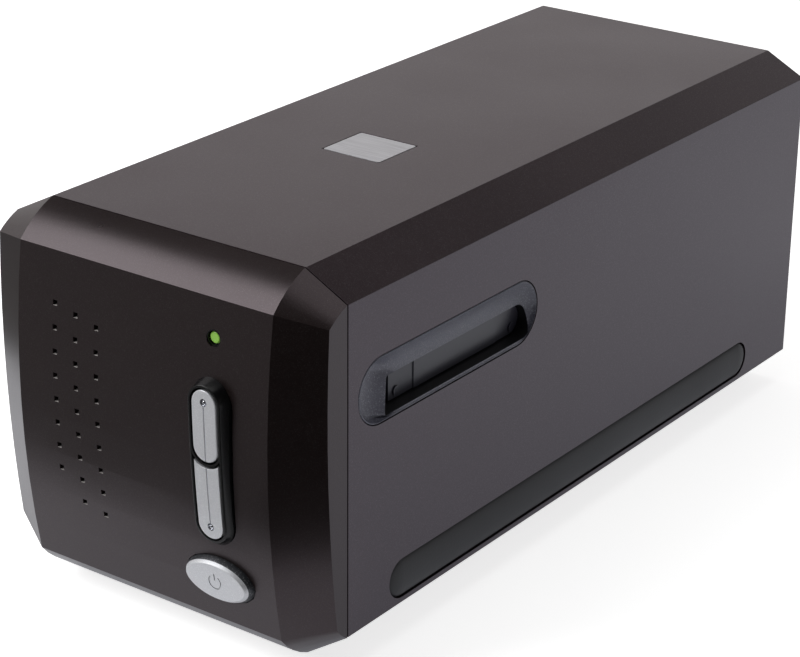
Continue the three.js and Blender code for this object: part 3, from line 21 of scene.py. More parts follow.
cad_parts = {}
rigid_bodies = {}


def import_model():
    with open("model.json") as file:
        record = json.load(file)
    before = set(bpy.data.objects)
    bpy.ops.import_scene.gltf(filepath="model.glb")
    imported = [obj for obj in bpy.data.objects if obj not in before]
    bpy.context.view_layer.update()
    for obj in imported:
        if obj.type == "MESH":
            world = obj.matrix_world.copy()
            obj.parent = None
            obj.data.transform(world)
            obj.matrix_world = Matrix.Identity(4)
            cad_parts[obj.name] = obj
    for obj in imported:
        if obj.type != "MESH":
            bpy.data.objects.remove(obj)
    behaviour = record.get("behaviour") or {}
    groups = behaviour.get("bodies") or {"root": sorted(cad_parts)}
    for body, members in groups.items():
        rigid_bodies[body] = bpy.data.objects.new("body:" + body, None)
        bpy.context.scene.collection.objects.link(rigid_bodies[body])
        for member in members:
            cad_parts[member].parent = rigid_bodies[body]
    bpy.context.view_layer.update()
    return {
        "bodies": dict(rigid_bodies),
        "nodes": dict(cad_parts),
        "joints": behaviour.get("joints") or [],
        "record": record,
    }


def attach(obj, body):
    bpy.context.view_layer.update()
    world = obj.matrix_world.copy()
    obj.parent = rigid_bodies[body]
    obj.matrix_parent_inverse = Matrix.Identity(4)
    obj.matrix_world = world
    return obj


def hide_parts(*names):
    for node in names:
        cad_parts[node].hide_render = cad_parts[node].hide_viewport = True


MM = 0.001
LOG = logging.getLogger("scanner")

# How far a cutter runs past the face that it cuts.
OVER = 1.0
# Corners nearer than this are one.
MERGE = 1e-4
# Past this angle in degrees an edge stays sharp in the shading.
SHARP = 38.0
# Past this angle in degrees an edge at the height of a rim is part of it.
RIM = 30.0

Colour = tuple[float, float, float]
Pair = tuple[float, float]
Triple = tuple[float, float, float]


class Side(Enum):
    """The two long sides of the scanner, with the sign of X on each."""

    RIGHT = 1
    LEFT = -1

    @property
    def word(self) -> str:
        """The side's name as the CAD nodes write it."""
        return self.name.lower()

    @property
    def facing(self) -> "Facing":
        """The facing of a piece on this side."""
        return Facing[self.name]


class Facing(Enum):
    """How a piece drawn flat is placed on the scanner."""

    FRONT = Matrix(((1, 0, 0, 0), (0, 0, -1, 0), (0, 1, 0, 0), (0, 0, 0, 1)))
    RIGHT = Matrix(((0, 0, 1, 0), (1, 0, 0, 0), (0, 1, 0, 0), (0, 0, 0, 1)))
    LEFT = Matrix(((0, 0, -1, 0), (1, 0, 0, 0), (0, 1, 0, 0), (0, 0, 0, 1)))
    REAR = Matrix(((-1, 0, 0, 0), (0, 0, 1, 0), (0, 1, 0, 0), (0, 0, 0, 1)))
    TOP = Matrix.Identity(4)
    UNDER = Matrix(((-1, 0, 0, 0), (0, 1, 0, 0), (0, 0, -1, 0), (0, 0, 0, 1)))


# ---------------------------------------------------------------- finishes

# What the shared detail group reads a scale for and puts out.
DETAILS = ("Grain", "Flake", "Smudge")
# The share of the pits in the grain, and the cells that are flakes.
PIT_SHARE = 0.6
FLAKE_CELLS = (0.80, 0.98)
# Where the slow unevenness turns from dark to light, and from smooth to rough.
PATCH_STEP = (0.3, 0.7)
ROUGH_STEP = (0.25, 0.75)


class Graph:
    """A small helper that adds and links the nodes of one node tree."""

    def __init__(self, tree: NodeTree) -> None:
        """Keeps the node tree."""
        self.tree = tree

    def add(self, kind: str, settings: dict[str, object] | None = None,
            **inputs: object) -> Node:
        """Adds a node.

        Args:
            kind: The node's type, without the ShaderNode at its front.
            settings: Values for the node's own properties.
            **inputs: What feeds each named input, with _ for a space.

        Returns:
            The new node.
        """
        node = self.tree.nodes.new("ShaderNode" + kind)
        for name, value in (settings or {}).items():
            setattr(node, name, value)
        for name, value in inputs.items():
            self.feed(node.inputs[name.replace("_", " ")], value)
        return node

    def feed(self, socket: NodeSocket, value: object) -> None:
        """Links an input, or sets its value.

        Args:
            socket: The input.
            value: An output, a node whose first output is meant, or a plain value.
        """
        if isinstance(value, Node):
            value = value.outputs[0]
        if isinstance(value, NodeSocket):
            self.tree.links.new(value, socket)
        else:
            socket.default_value = value

    def math(self, operation: str, first: object, second: object) -> NodeSocket:
        """One step of arithmetic.

        Args:
            operation: The Math node's operation.
            first: A value or socket.
            second: A value or socket.

        Returns:
            The result's socket.
        """
        node = self.add("Math", {"operation": operation})
        self.feed(node.inputs[0], first)
        self.feed(node.inputs[1], second)
        return node.outputs[0]

    def ramp(self, value: object, low: float, high: float, out_low: float = 0.0,
             out_high: float = 1.0) -> NodeSocket:
        """A smooth step.

        Args:
            value: The socket that is read.
            low: Where the step starts.
            high: Where it ends.
            out_low: The result at its start.
            out_high: The result at its end.

        Returns:
            The result's socket.
        """
        node = self.add("MapRange", {"interpolation_type": "SMOOTHSTEP"}, Value=value,
                        From_Min=low, From_Max=high, To_Min=out_low, To_Max=out_high)
        return node.outputs[0]

    def blend(self, factor: object, first: object, second: object) -> NodeSocket:
        """A mix of two colours.

        Args:
            factor: The share of the second colour.
            first: A colour or socket.
            second: A colour or socket.

        Returns:
            The mixed colour's socket.
        """
        node = self.add("Mix", {"data_type": "RGBA"})
        for index, value in ((0, factor), (6, first), (7, second)):
            self.feed(node.inputs[index], value)
        return node.outputs[2]


def node_material(name: str) -> tuple[Material, Graph]:
    """A new node material.

    Args:
        name: Its name.

    Returns:
        The material and its empty node tree.
    """
    material = bpy.data.materials.new(name)
    material.use_nodes = True
    material.node_tree.nodes.clear()
    return material, Graph(material.node_tree)


def toned(colour: Colour, factor: float = 1.0) -> tuple[float, ...]:
    """A colour made darker or lighter, with its alpha."""
    return (*(min(c * factor, 1.0) for c in colour), 1.0)


def moulded_detail() -> NodeTree:
    """The shared surface detail of mouldings and paint: grain, metal flakes and unevenness.

    Returns:
        The node group, built once.
    """
    name = "moulded_detail"
    if name in bpy.data.node_groups:
        return bpy.data.node_groups[name]
    group = bpy.data.node_groups.new(name, "ShaderNodeTree")
    group.interface.new_socket("Place", in_out="INPUT", socket_type="NodeSocketVector")
    for word in DETAILS:
        group.interface.new_socket(f"{word} Scale", in_out="INPUT",
                                   socket_type="NodeSocketFloat")
        group.interface.new_socket(word, in_out="OUTPUT", socket_type="NodeSocketFloat")
    graph = Graph(group)
    source = group.nodes.new("NodeGroupInput").outputs
    result = group.nodes.new("NodeGroupOutput").inputs
    place, scales = source["Place"], [source[f"{word} Scale"] for word in DETAILS]
    fine = graph.add("TexNoise", Vector=place, Scale=scales[0], Detail=2.0, Roughness=0.6)
    cells = graph.add("TexVoronoi", {"feature": "SMOOTH_F1"}, Vector=place, Scale=scales[0],
                      Smoothness=0.6)
    pits = graph.math("MULTIPLY", cells.outputs["Distance"], PIT_SHARE)
    grain = graph.math("ADD", fine.outputs["Fac"], pits)
    flakes = graph.add("TexVoronoi", Vector=place, Scale=scales[1])
    pick = graph.add("SeparateColor", Color=flakes.outputs["Color"])
    flake = graph.ramp(pick.outputs[0], *FLAKE_CELLS)
    slow = graph.add("TexNoise", Vector=place, Scale=scales[2], Detail=3.0, Roughness=0.5)
    for word, value in zip(DETAILS, (grain, flake, slow.outputs["Fac"]), strict=True):
        graph.feed(result[word], value)
    return group


@dataclass(frozen=True)
class Ground:
    """What the nodes of a finish start from: its tree, the shared detail and the place."""

    graph: Graph
    detail: NodeOutputs
    place: NodeSocket


@dataclass(frozen=True)
class Finish:
    """A painted, moulded or metal finish, with its grain, flakes and unevenness.

    The lengths are in millimetres. The colour is linear.
    """

    name: str
    colour: Colour
    roughness: float
    metallic: float = 0.0
    specular: float = 0.5
    specular_tint: Colour = (1.0, 1.0, 1.0)
    coat: float = 0.0
    coat_roughness: float = 0.2
    grain_size: float = 0.45
    grain_depth: float = 0.02
    flake_size: float = 0.16
    flake_lift: float = 0.0
    smudge_size: float = 45.0
    uneven: float = 0.05
    shade: float = 0.08

    def material(self) -> Material:
        """The finish as a node material.

        Returns:
            The material, made once.
        """
        if self.name in bpy.data.materials:
            return bpy.data.materials[self.name]
        material, graph = node_material(self.name)
        place = graph.add("TexCoord").outputs["Object"]
        sizes = zip(DETAILS, (self.grain_size, self.flake_size, self.smudge_size), strict=True)
        scales = {f"{word}_Scale": 1 / (size * MM) for word, size in sizes}
        detail = graph.add("Group", {"node_tree": moulded_detail()}, Place=place, **scales)
        graph.add("OutputMaterial", Surface=self.shader(Ground(graph, detail.outputs, place)))
        return material

    def tones(self, ground: Ground, mask: NodeSocket, depth: float) -> NodeSocket:
        """A darker and a lighter tone of the colour.

        Args:
            ground: What the nodes start from.
            mask: What picks between the two.
            depth: How far each lies from the colour, as a share of it.

        Returns:
            The colour's socket.
        """
        return ground.graph.blend(ground.graph.ramp(mask, *PATCH_STEP),
                                  toned(self.colour, 1 - depth), toned(self.colour, 1 + depth))

    def tint(self, ground: Ground) -> NodeSocket:
        """The base colour: darker and lighter patches, and flakes that catch the light.

        Args:
            ground: What the nodes start from.

        Returns:
            The colour's socket.
        """
        patchy = self.tones(ground, ground.detail["Smudge"], self.shade)
        if not self.flake_lift:
            return patchy
        bright = tuple(c + self.flake_lift for c in self.colour)
        return ground.graph.blend(ground.detail["Flake"], patchy, toned(bright))

    def shader(self, ground: Ground) -> Node:
        """The Principled shader with its colour, roughness and bump.

        Args:
            ground: What the nodes start from.

        Returns:
            The shader node.
        """
        graph, detail = ground.graph, ground.detail
        shader = graph.add(
            "BsdfPrincipled", Base_Color=self.tint(ground), Metallic=self.metallic,
            Roughness=self.roughness, Specular_IOR_Level=self.specular,
            Specular_Tint=toned(self.specular_tint), Coat_Weight=self.coat,
            Coat_Roughness=self.coat_roughness)
        graph.feed(shader.inputs["Roughness"], graph.ramp(
            detail["Smudge"], *ROUGH_STEP, self.roughness - self.uneven,
            self.roughness + self.uneven))
        bump = graph.add("Bump", Height=detail["Grain"], Strength=1.0,
                         Distance=self.grain_depth * MM)
        graph.feed(shader.inputs["Normal"], bump)
        return shader


@dataclass(frozen=True)
class BrushedMetal(Finish):
    """A metal with fine strokes along one axis."""

    stretch: Triple = (1.0, 40.0, 1.0)
    stroke: float = 0.12
    stroke_scale: float = 90.0

    def tint(self, ground: Ground) -> NodeSocket:
        """The metal's colour with its strokes.

        Args:
            ground: What the nodes start from.

        Returns:
            The colour's socket.
        """
        along = ground.graph.add("Mapping", Vector=ground.place, Scale=self.stretch)
        strokes = ground.graph.add("TexNoise", Vector=along, Scale=self.stroke_scale,
                                   Detail=4.0)
        return self.tones(ground, strokes.outputs["Fac"], self.stroke)


@dataclass(frozen=True)
class CircuitBoard(Finish):
    """Green solder mask over copper tracks, which show a little lighter."""

    pitch: float = 2.4
    stagger: float = 0.37
    track: float = 0.035
    track_tone: float = 1.9
    track_share: float = 0.7

    def tint(self, ground: Ground) -> NodeSocket:
        """The board's colour with its tracks.

        Args:
            ground: What the nodes start from.

        Returns:
            The colour's socket.
        """
        graph = ground.graph
        tracks = graph.add("TexBrick", {"offset": self.stagger}, Vector=ground.place,
                           Scale=1 / (self.pitch * MM), Mortar_Size=self.track)
        mask = graph.math("MULTIPLY", tracks.outputs["Fac"], self.track_share)
        return graph.blend(mask, toned(self.colour), toned(self.colour, self.track_tone))


@dataclass(frozen=True)
class ClearLens(Finish):
    """Clear coloured plastic, lit a little from behind."""

    glow: float = 0.10

    def shader(self, ground: Ground) -> Node:
        """The Principled shader with its glow.

        Args:
            ground: What the nodes start from.

        Returns:
            The shader node.
        """
        shader = super().shader(ground)
        shader.inputs["Emission Color"].default_value = toned(self.colour)
        shader.inputs["Emission Strength"].default_value = self.glow
        return shader


SHELL_PAINT = Finish(
    "scanner_shell_paint", (0.0140, 0.0064, 0.0068), 0.30, specular=0.65,
    specular_tint=(0.98, 0.84, 1.0), flake_lift=0.05, grain_size=0.55, grain_depth=0.010,
    uneven=0.02)
# The bezel's paint is darker than the shells': partly its own tone, partly painted shade for its
# front, which faces the dark side of the studio.
SHADED_BEZEL_PAINT = Finish(
    "scanner_bezel_paint", (0.0090, 0.0054, 0.0048), 0.29, specular=0.50,
    specular_tint=(1.0, 0.84, 0.90), flake_lift=0.016, grain_size=0.50, grain_depth=0.012,
    uneven=0.02)
BLACK_PLASTIC = Finish("satin_black_plastic", (0.012, 0.012, 0.0125), 0.45, grain_depth=0.014)
INSERT_PLASTIC = Finish(
    "grained_slot_plastic", (0.110, 0.112, 0.150), 0.36, specular=0.6, grain_size=0.42,
    grain_depth=0.09, flake_lift=0.12, flake_size=0.25)
# Painted shade: near black for the walls of the slot's throat, where shade falls in the deep
# recess.
THROAT_PAINTED_SHADE = Finish("dark_throat_plastic", (0.010, 0.010, 0.012), 0.45, specular=0.35,
                        grain_depth=0.01)
DOOR_PLASTIC = Finish("smooth_door_plastic", (0.034, 0.034, 0.048), 0.32, grain_depth=0.006)
# Painted light: a light grey for the upward sills of the bezel's small holes, standing in for the
# light that falls on them from above.
VENT_SILL_PAINTED_LIGHT = Finish("bare_vent_plastic", (0.55, 0.52, 0.50), 0.5, grain_depth=0.004)
COLLAR_PLASTIC = Finish("gloss_collar_plastic", (0.006, 0.006, 0.0065), 0.22, specular=0.3,
                        grain_depth=0.002)
RUBBER = Finish("grip_rubber", (0.024, 0.024, 0.026), 0.50, specular=0.4, grain_size=0.7,
                grain_depth=0.03)
SILVER_PAINT = Finish(
    "silver_button_paint", (0.68, 0.69, 0.72), 0.40, metallic=0.30, flake_lift=0.16,
    flake_size=0.15, grain_size=0.26, grain_depth=0.012, shade=0.02, uneven=0.02)
SILVER_PIN = Finish("polished_button_pin", (0.55, 0.56, 0.60), 0.14, metallic=0.9,
                    grain_depth=0.0)
# Painted shade: a darker copy of the silver paint for the power button's side walls, standing in
# for their shade and dark reflection.
SILVER_WALL_PAINTED_SHADE = Finish(
    "dark_silver_wall", (0.055, 0.058, 0.066), 0.35, metallic=0.5, flake_lift=0.12,
    flake_size=0.3, grain_size=0.5, grain_depth=0.03)
BADGE_METAL = BrushedMetal("brushed_badge_metal", (0.62, 0.63, 0.66), 0.38, metallic=0.75,
                           grain_depth=0.003)
STEEL = BrushedMetal("plain_steel", (0.50, 0.50, 0.52), 0.30, metallic=1.0, grain_depth=0.002)
BLACK_STEEL = Finish("blackened_screw_steel", (0.05, 0.05, 0.055), 0.35, metallic=0.8,
                     grain_depth=0.003)
BRASS = BrushedMetal("turned_brass", (0.60, 0.43, 0.18), 0.30, metallic=1.0,
                     grain_depth=0.002)
BOARD_GREEN = CircuitBoard("solder_mask_board", (0.012, 0.085, 0.035), 0.35,
                           grain_depth=0.004)
FRAME_PLASTIC = Finish("moulded_frame_plastic", (0.10, 0.105, 0.11), 0.55, grain_size=0.9,
                       grain_depth=0.03)
LAMP_LENS = ClearLens("green_lamp_lens", (0.30, 0.62, 0.08), 0.10, coat=1.0,
                      coat_roughness=0.03, grain_depth=0.0)
DIFFUSER_WHITE = Finish("frosted_diffuser", (0.80, 0.80, 0.77), 0.6, grain_depth=0.01)
MIRROR_GLASS = Finish("front_surface_mirror", (0.86, 0.88, 0.90), 0.04, metallic=1.0,
                      grain_depth=0.0, uneven=0.01, shade=0.01)

SLOT_FINISHES = {
    "shell_paint": SHELL_PAINT, "bezel_paint": SHADED_BEZEL_PAINT, "black_plastic": BLACK_PLASTIC,
    "rubber": RUBBER, "silver_paint": SILVER_PAINT, "badge_metal": BADGE_METAL,
    "steel": STEEL, "brass": BRASS, "board_green": BOARD_GREEN,
    "frame_plastic": FRAME_PLASTIC, "lamp_lens": LAMP_LENS,
    "diffuser_white": DIFFUSER_WHITE, "mirror_glass": MIRROR_GLASS,
}


# ---------------------------------------------------------------- modelling helpers


def link(name: str, data: ID) -> Object:
    """Makes an object and links it into the scene.

    Args:
        name: The object's name.
        data: Its mesh, lamp or camera.

    Returns:
        The object.
    """
    made = bpy.data.objects.new(name, data)
    bpy.context.scene.collection.objects.link(made)
    return made


def mesh_object(mesh: BMesh, name: str, material: Material | None = None) -> Object:
    """Makes an object of a mesh.

    Args:
        mesh: The mesh in metres, which is used up.
        name: The object's name.
        material: Its material, or nothing for a passing object.

    Returns:
        The object.
    """
    data = bpy.data.meshes.new(name)
    mesh.to_mesh(data)
    mesh.free()
    if material:
        data.materials.append(material)
    return link(name, data)


def bevel(mesh: BMesh, edges: Iterable[BMEdge], radius: float, segments: int) -> None:
    """Rounds edges.

    Args:
        mesh: The mesh.
        edges: The edges.
        radius: How far the rounding reaches on each side.
        segments: The number of its steps.
    """
    bmesh.ops.bevel(mesh, geom=list(edges), offset=radius, offset_type="OFFSET",
                    segments=segments, profile=0.5, affect="EDGES", clamp_overlap=True,
                    material=-1)


def ease(share: float) -> float:
    """A smooth step from 0 to 1."""
    share = min(max(share, 0.0), 1.0)
    return share * share * (3 - 2 * share)


class Workpiece:
    """A mesh that is drawn flat in millimetres, shaped with mesh operators and then placed."""

    def __init__(self) -> None:
        """Starts with an empty mesh."""
        self.mesh = bmesh.new()

    def disc(self, u: float, v: float, half_u: float, half_v: float, w: float,
             segments: int) -> BMFace:
        """Adds a flat oval that faces outwards.

        Args:
            u: Its centre across.
            v: Its centre up.
            half_u: Half its width.
            half_v: Half its height.
            w: How far out it lies.
            segments: The number of its corners.

        Returns:
            The new face.
        """
        made = bmesh.ops.create_circle(self.mesh, cap_ends=True, radius=1.0, segments=segments)
        for vert in made["verts"]:
            vert.co = Vector((u + vert.co.x * half_u, v + vert.co.y * half_v, w))
        return self.outward(made["verts"][0].link_faces[0])

    def stadium(self, u: float, v: float, half_u: float, half_v: float, w: float,
                segments: int = 48) -> BMFace:
        """Adds a flat stadium, a rectangle with round ends on its short sides.

        Args:
            u: Its centre across.
            v: Its centre up.
            half_u: Half its width.
            half_v: Half its height.
            w: How far out it lies.
            segments: The number of corners of its two round ends together.

        Returns:
            The new face.
        """
        radius = min(half_u, half_v)
        half_step = math.pi / segments
        made = bmesh.ops.create_circle(
            self.mesh, cap_ends=True, radius=radius / math.cos(half_step), segments=segments,
            matrix=Matrix.Rotation(half_step, 4, "Z"))
        for vert in made["verts"]:
            vert.co.x = u + vert.co.x + math.copysign(half_u - radius, vert.co.x)
            vert.co.y = v + vert.co.y + math.copysign(half_v - radius, vert.co.y)
            vert.co.z = w
        return self.outward(made["verts"][0].link_faces[0])

    def column(self, u: float, v: float, radius: float, low: float, high: float,
               segments: int = 32) -> "Workpiece":
        """Adds a round bar that stands upright on the flat.

        Args:
            u: Its centre across.
            v: Its centre up.
            radius: Its radius.
            low: How far out it starts.
            high: How far out it ends.
            segments: The number of its sides.

        Returns:
            The workpiece.
        """
        self.raise_face(self.disc(u, v, radius, radius, low, segments), high)
        return self

    def block(self, low: Sequence[float], high: Sequence[float]) -> "Workpiece":
        """Adds a box.

        Args:
            low: One corner.
            high: The corner opposite.

        Returns:
            The workpiece.
        """
        low, high = Vector(low), Vector(high)
        place = Matrix.Translation((low + high) / 2) @ Matrix.Diagonal((*(high - low), 1.0))
        bmesh.ops.create_cube(self.mesh, size=1.0, matrix=place)
        return self

    @staticmethod
    def outward(face: BMFace) -> BMFace:
        """Turns a flat face outwards.

        Args:
            face: The face.

        Returns:
            The same face.
        """
        face.normal_update()
        if face.normal.z < 0:
            face.normal_flip()
        return face

    def raise_face(self, face: BMFace, to_w: float) -> BMFace:
        """Extrudes a flat face outwards to a height.

        Args:
            face: The face. One that stands alone stays as the bottom.
            to_w: The height of the new face.

        Returns:
            The face on top.
        """
        alone = not any(len(edge.link_faces) > 1 for edge in face.edges)
        grown = bmesh.ops.extrude_face_region(self.mesh, geom=[face], use_keep_orig=alone)
        for vert in (item for item in grown["geom"] if isinstance(item, BMVert)):
            vert.co.z = to_w
        return next(item for item in grown["geom"] if isinstance(item, BMFace))

    def step_in(self, face: BMFace, width: float, rise: float = 0.0) -> BMFace:
        """Insets a flat face and raises it.

        Args:
            face: The face.
            width: How far its border moves in.
            rise: How far the inner face moves out.

        Returns:
            The inner face.
        """
        bmesh.ops.inset_region(self.mesh, faces=[face], thickness=width, depth=rise,
                               use_even_offset=True, use_boundary=True)
        return face

    def round_rim(self, w: float, radius: float, segments: int) -> None:
        """Rounds the sharp edges that lie at one height.

        Args:
            w: The height.
            radius: How far the rounding reaches on each side.
            segments: The number of its steps.
        """
        found = [edge for edge in self.mesh.edges
                 if all(abs(vert.co.z - w) < MERGE for vert in edge.verts)
                 and len(edge.link_faces) == 2 and edge.calc_face_angle() > math.radians(RIM)]
        bevel(self.mesh, found, radius, segments)

    def slice_up(self, low: float, high: float, pitch: float) -> None:
        """Cuts edges across the workpiece at even heights, so that it can bend.

        Args:
            low: The lowest cut.
            high: The highest.
            pitch: The distance between cuts.
        """
        for step in range(int((high - low) / pitch) + 1):
            geom = [*self.mesh.verts, *self.mesh.edges, *self.mesh.faces]
            bmesh.ops.bisect_plane(self.mesh, geom=geom, dist=MERGE / 10,
                                   plane_co=(0.0, low + step * pitch, 0.0),
                                   plane_no=(0.0, 1.0, 0.0))

    def carve(self, cutter: "Workpiece", operation: str = "DIFFERENCE") -> None:
        """Cuts another workpiece from this one, or joins it on.

        Args:
            cutter: The other workpiece, which is used up.
            operation: The boolean modifier's operation.
        """
        for piece in (self, cutter):
            bmesh.ops.recalc_face_normals(piece.mesh, faces=piece.mesh.faces)
        body, tool = (mesh_object(piece.mesh, "carving") for piece in (self, cutter))
        change = body.modifiers.new("carve", "BOOLEAN")
        change.operation, change.solver, change.object = operation, "EXACT", tool
        bpy.context.view_layer.update()
        shaped = body.evaluated_get(bpy.context.evaluated_depsgraph_get())
        self.mesh = bmesh.new()
        self.mesh.from_mesh(shaped.to_mesh())
        shaped.to_mesh_clear()
        for data in (body.data, tool.data):
            bpy.data.meshes.remove(data)
        bmesh.ops.remove_doubles(self.mesh, verts=self.mesh.verts, dist=MERGE)

    def finish(self, name: str, facing: Facing, finish: Finish) -> Object:
        """Places the workpiece and makes it an object.

        Args:
            name: The object's name.
            facing: The way that it faces on the scanner.
            finish: Its finish.

        Returns:
            The object, with its place in its mesh.
        """
        bmesh.ops.transform(self.mesh, matrix=Matrix.Scale(MM, 4) @ facing.value,
                            verts=self.mesh.verts)
        bmesh.ops.recalc_face_normals(self.mesh, faces=self.mesh.faces)
        return smooth_object(self.mesh, name, finish)


def smooth_object(mesh: BMesh, name: str, finish: Finish) -> Object:
    """Makes an object of a mesh, smooth but for its sharp edges.

    Args:
        mesh: The mesh in metres, which is used up.
        name: The object's name.
        finish: Its finish.

    Returns:
        The object.
    """
    for face in mesh.faces:
        face.smooth = True
    for edge in mesh.edges:
        edge.smooth = (len(edge.link_faces) == 2
                       and edge.calc_face_angle() < math.radians(SHARP))
    made = mesh_object(mesh, name, finish.material())
    soft = made.modifiers.new("even_shading", "WEIGHTED_NORMAL")
    soft.keep_sharp = True
    soft.weight = 60
    return made


def recoat(piece: Object, finish: Finish, test: Callable[[MeshPolygon, Vector], bool]) -> None:
    """Gives some faces of a piece a second finish.

    Args:
        piece: The piece.
        finish: The second finish.
        test: Picks the faces, from a face and its centre in millimetres.
    """
    piece.data.materials.append(finish.material())
    for face in piece.data.polygons:
        if test(face, face.center / MM):
            face.material_index = 1


def settle(piece: Object, body: str, node: str) -> None:
    """Puts a finished piece into the frame.

    Args:
        piece: The piece.
        body: The body that it rides on.
        node: The CAD node that it stands for.
    """
    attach(piece, body)
    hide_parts(node)
    LOG.info("%s rides on %s, with %d faces", piece.name, body, len(piece.data.polygons))


@dataclass
class RoundedCopy:
    """A CAD moulding whose flat facets are merged and whose outer edges are rounded."""

    frame: dict
    node: str
    name: str
    radius: float
    fine_radius: float = 0.0
    fine_shortest: float = 0.5
    shortest: float = 2.0
    segments: int = 2
    angle: float = 22.0
    flat_angle: float = 0.4
    join: float = 0.002
    probe: float = 0.05

    def build(self, finish: Finish) -> Object:
        """Makes the rounded copy.

        Args:
            finish: Its finish.

        Returns:
            The object.
        """
        mesh = bmesh.new()
        mesh.from_mesh(self.frame["nodes"][self.node].data)
        bmesh.ops.remove_doubles(mesh, verts=mesh.verts, dist=self.join * MM)
        bmesh.ops.dissolve_limit(mesh, angle_limit=math.radians(self.flat_angle),
                                 verts=mesh.verts, edges=mesh.edges)
        passes = [(self.radius, self.shortest, math.inf)]
        if self.fine_radius:
            passes.insert(0, (self.fine_radius, self.fine_shortest, self.shortest))
        for radius, shortest, longest in passes:
            edges = self.outer_edges(mesh, shortest, longest)
            bevel(mesh, edges, radius * MM, self.segments)
        return smooth_object(mesh, self.name, finish)

    def outer_edges(self, mesh: BMesh, shortest: float, longest: float) -> list[BMEdge]:
        """The convex edges that can be seen from outside.

        Args:
            mesh: The merged mesh.
            shortest: The least length of an edge.
            longest: The length that it stays under.

        Returns:
            The edges.
        """
        tree = BVHTree.FromBMesh(mesh)
        found = []
        for edge in mesh.edges:
            if len(edge.link_faces) != 2 or not edge.is_convex:
                continue
            if not shortest * MM <= edge.calc_length() < longest * MM:
                continue
            if edge.calc_face_angle() < math.radians(self.angle):
                continue
            out = (edge.link_faces[0].normal + edge.link_faces[1].normal).normalized()
            middle = (edge.verts[0].co + edge.verts[1].co) / 2
            if tree.ray_cast(middle + out * self.probe * MM, out)[0] is None:
                found.append(edge)
        return found


# ---------------------------------------------------------------- sub-assemblies


@dataclass
class Housing:
    """The painted shells and the black rear panel."""

    frame: dict
    shell_edge: float = 0.7
    panel_edge: float = 0.4
    vent_edge: float = 0.12
    vent_across: Pair = (-42.0, -8.0)
    vent_up: Pair = (28.0, 98.0)
    vent_wall: float = 8.0
    sill_slope: float = 0.5

    def build(self) -> None:
        """Builds the cover, the front bezel, the tray and the rear panel."""
        rows = (
            ("top_cover", "cover_shell", SHELL_PAINT, "shell_paint", self.shell_edge),
            # The bezel's paint carries painted shade in its darker tone.
            ("front_bezel", "front_bezel_shell", SHADED_BEZEL_PAINT, "bezel_paint", self.shell_edge),
            ("base_tray", "tray_shell", SHELL_PAINT, "shell_paint", self.shell_edge),
            ("rear_panel", "rear_panel_plate", BLACK_PLASTIC, "black_plastic",
             self.panel_edge),
        )
        for node, name, finish, slot, edge in rows:
            vented = node == "front_bezel"
            fine = self.vent_edge if vented else 0.0
            made = RoundedCopy(self.frame, node, name, edge, fine).build(finish)
            if vented:
                # The upward sills of the small front holes get a light colour, painted light from
                # above.
                recoat(made, VENT_SILL_PAINTED_LIGHT, self.is_sill)
            settle(made, "housing", node)

    def is_sill(self, face: MeshPolygon, place: Vector) -> bool:
        """Whether a face is the upward sill of a small front hole, which gets a light colour as
        painted light falling from above.

        Args:
            face: A face of the bezel.
            place: Its centre.

        Returns:
            True for a sill.
        """
        return (self.vent_across[0] < place.x < self.vent_across[1]
                and self.vent_up[0] < place.z < self.vent_up[1]
                and face.normal.z > self.sill_slope and face.area < self.vent_wall * MM * MM)


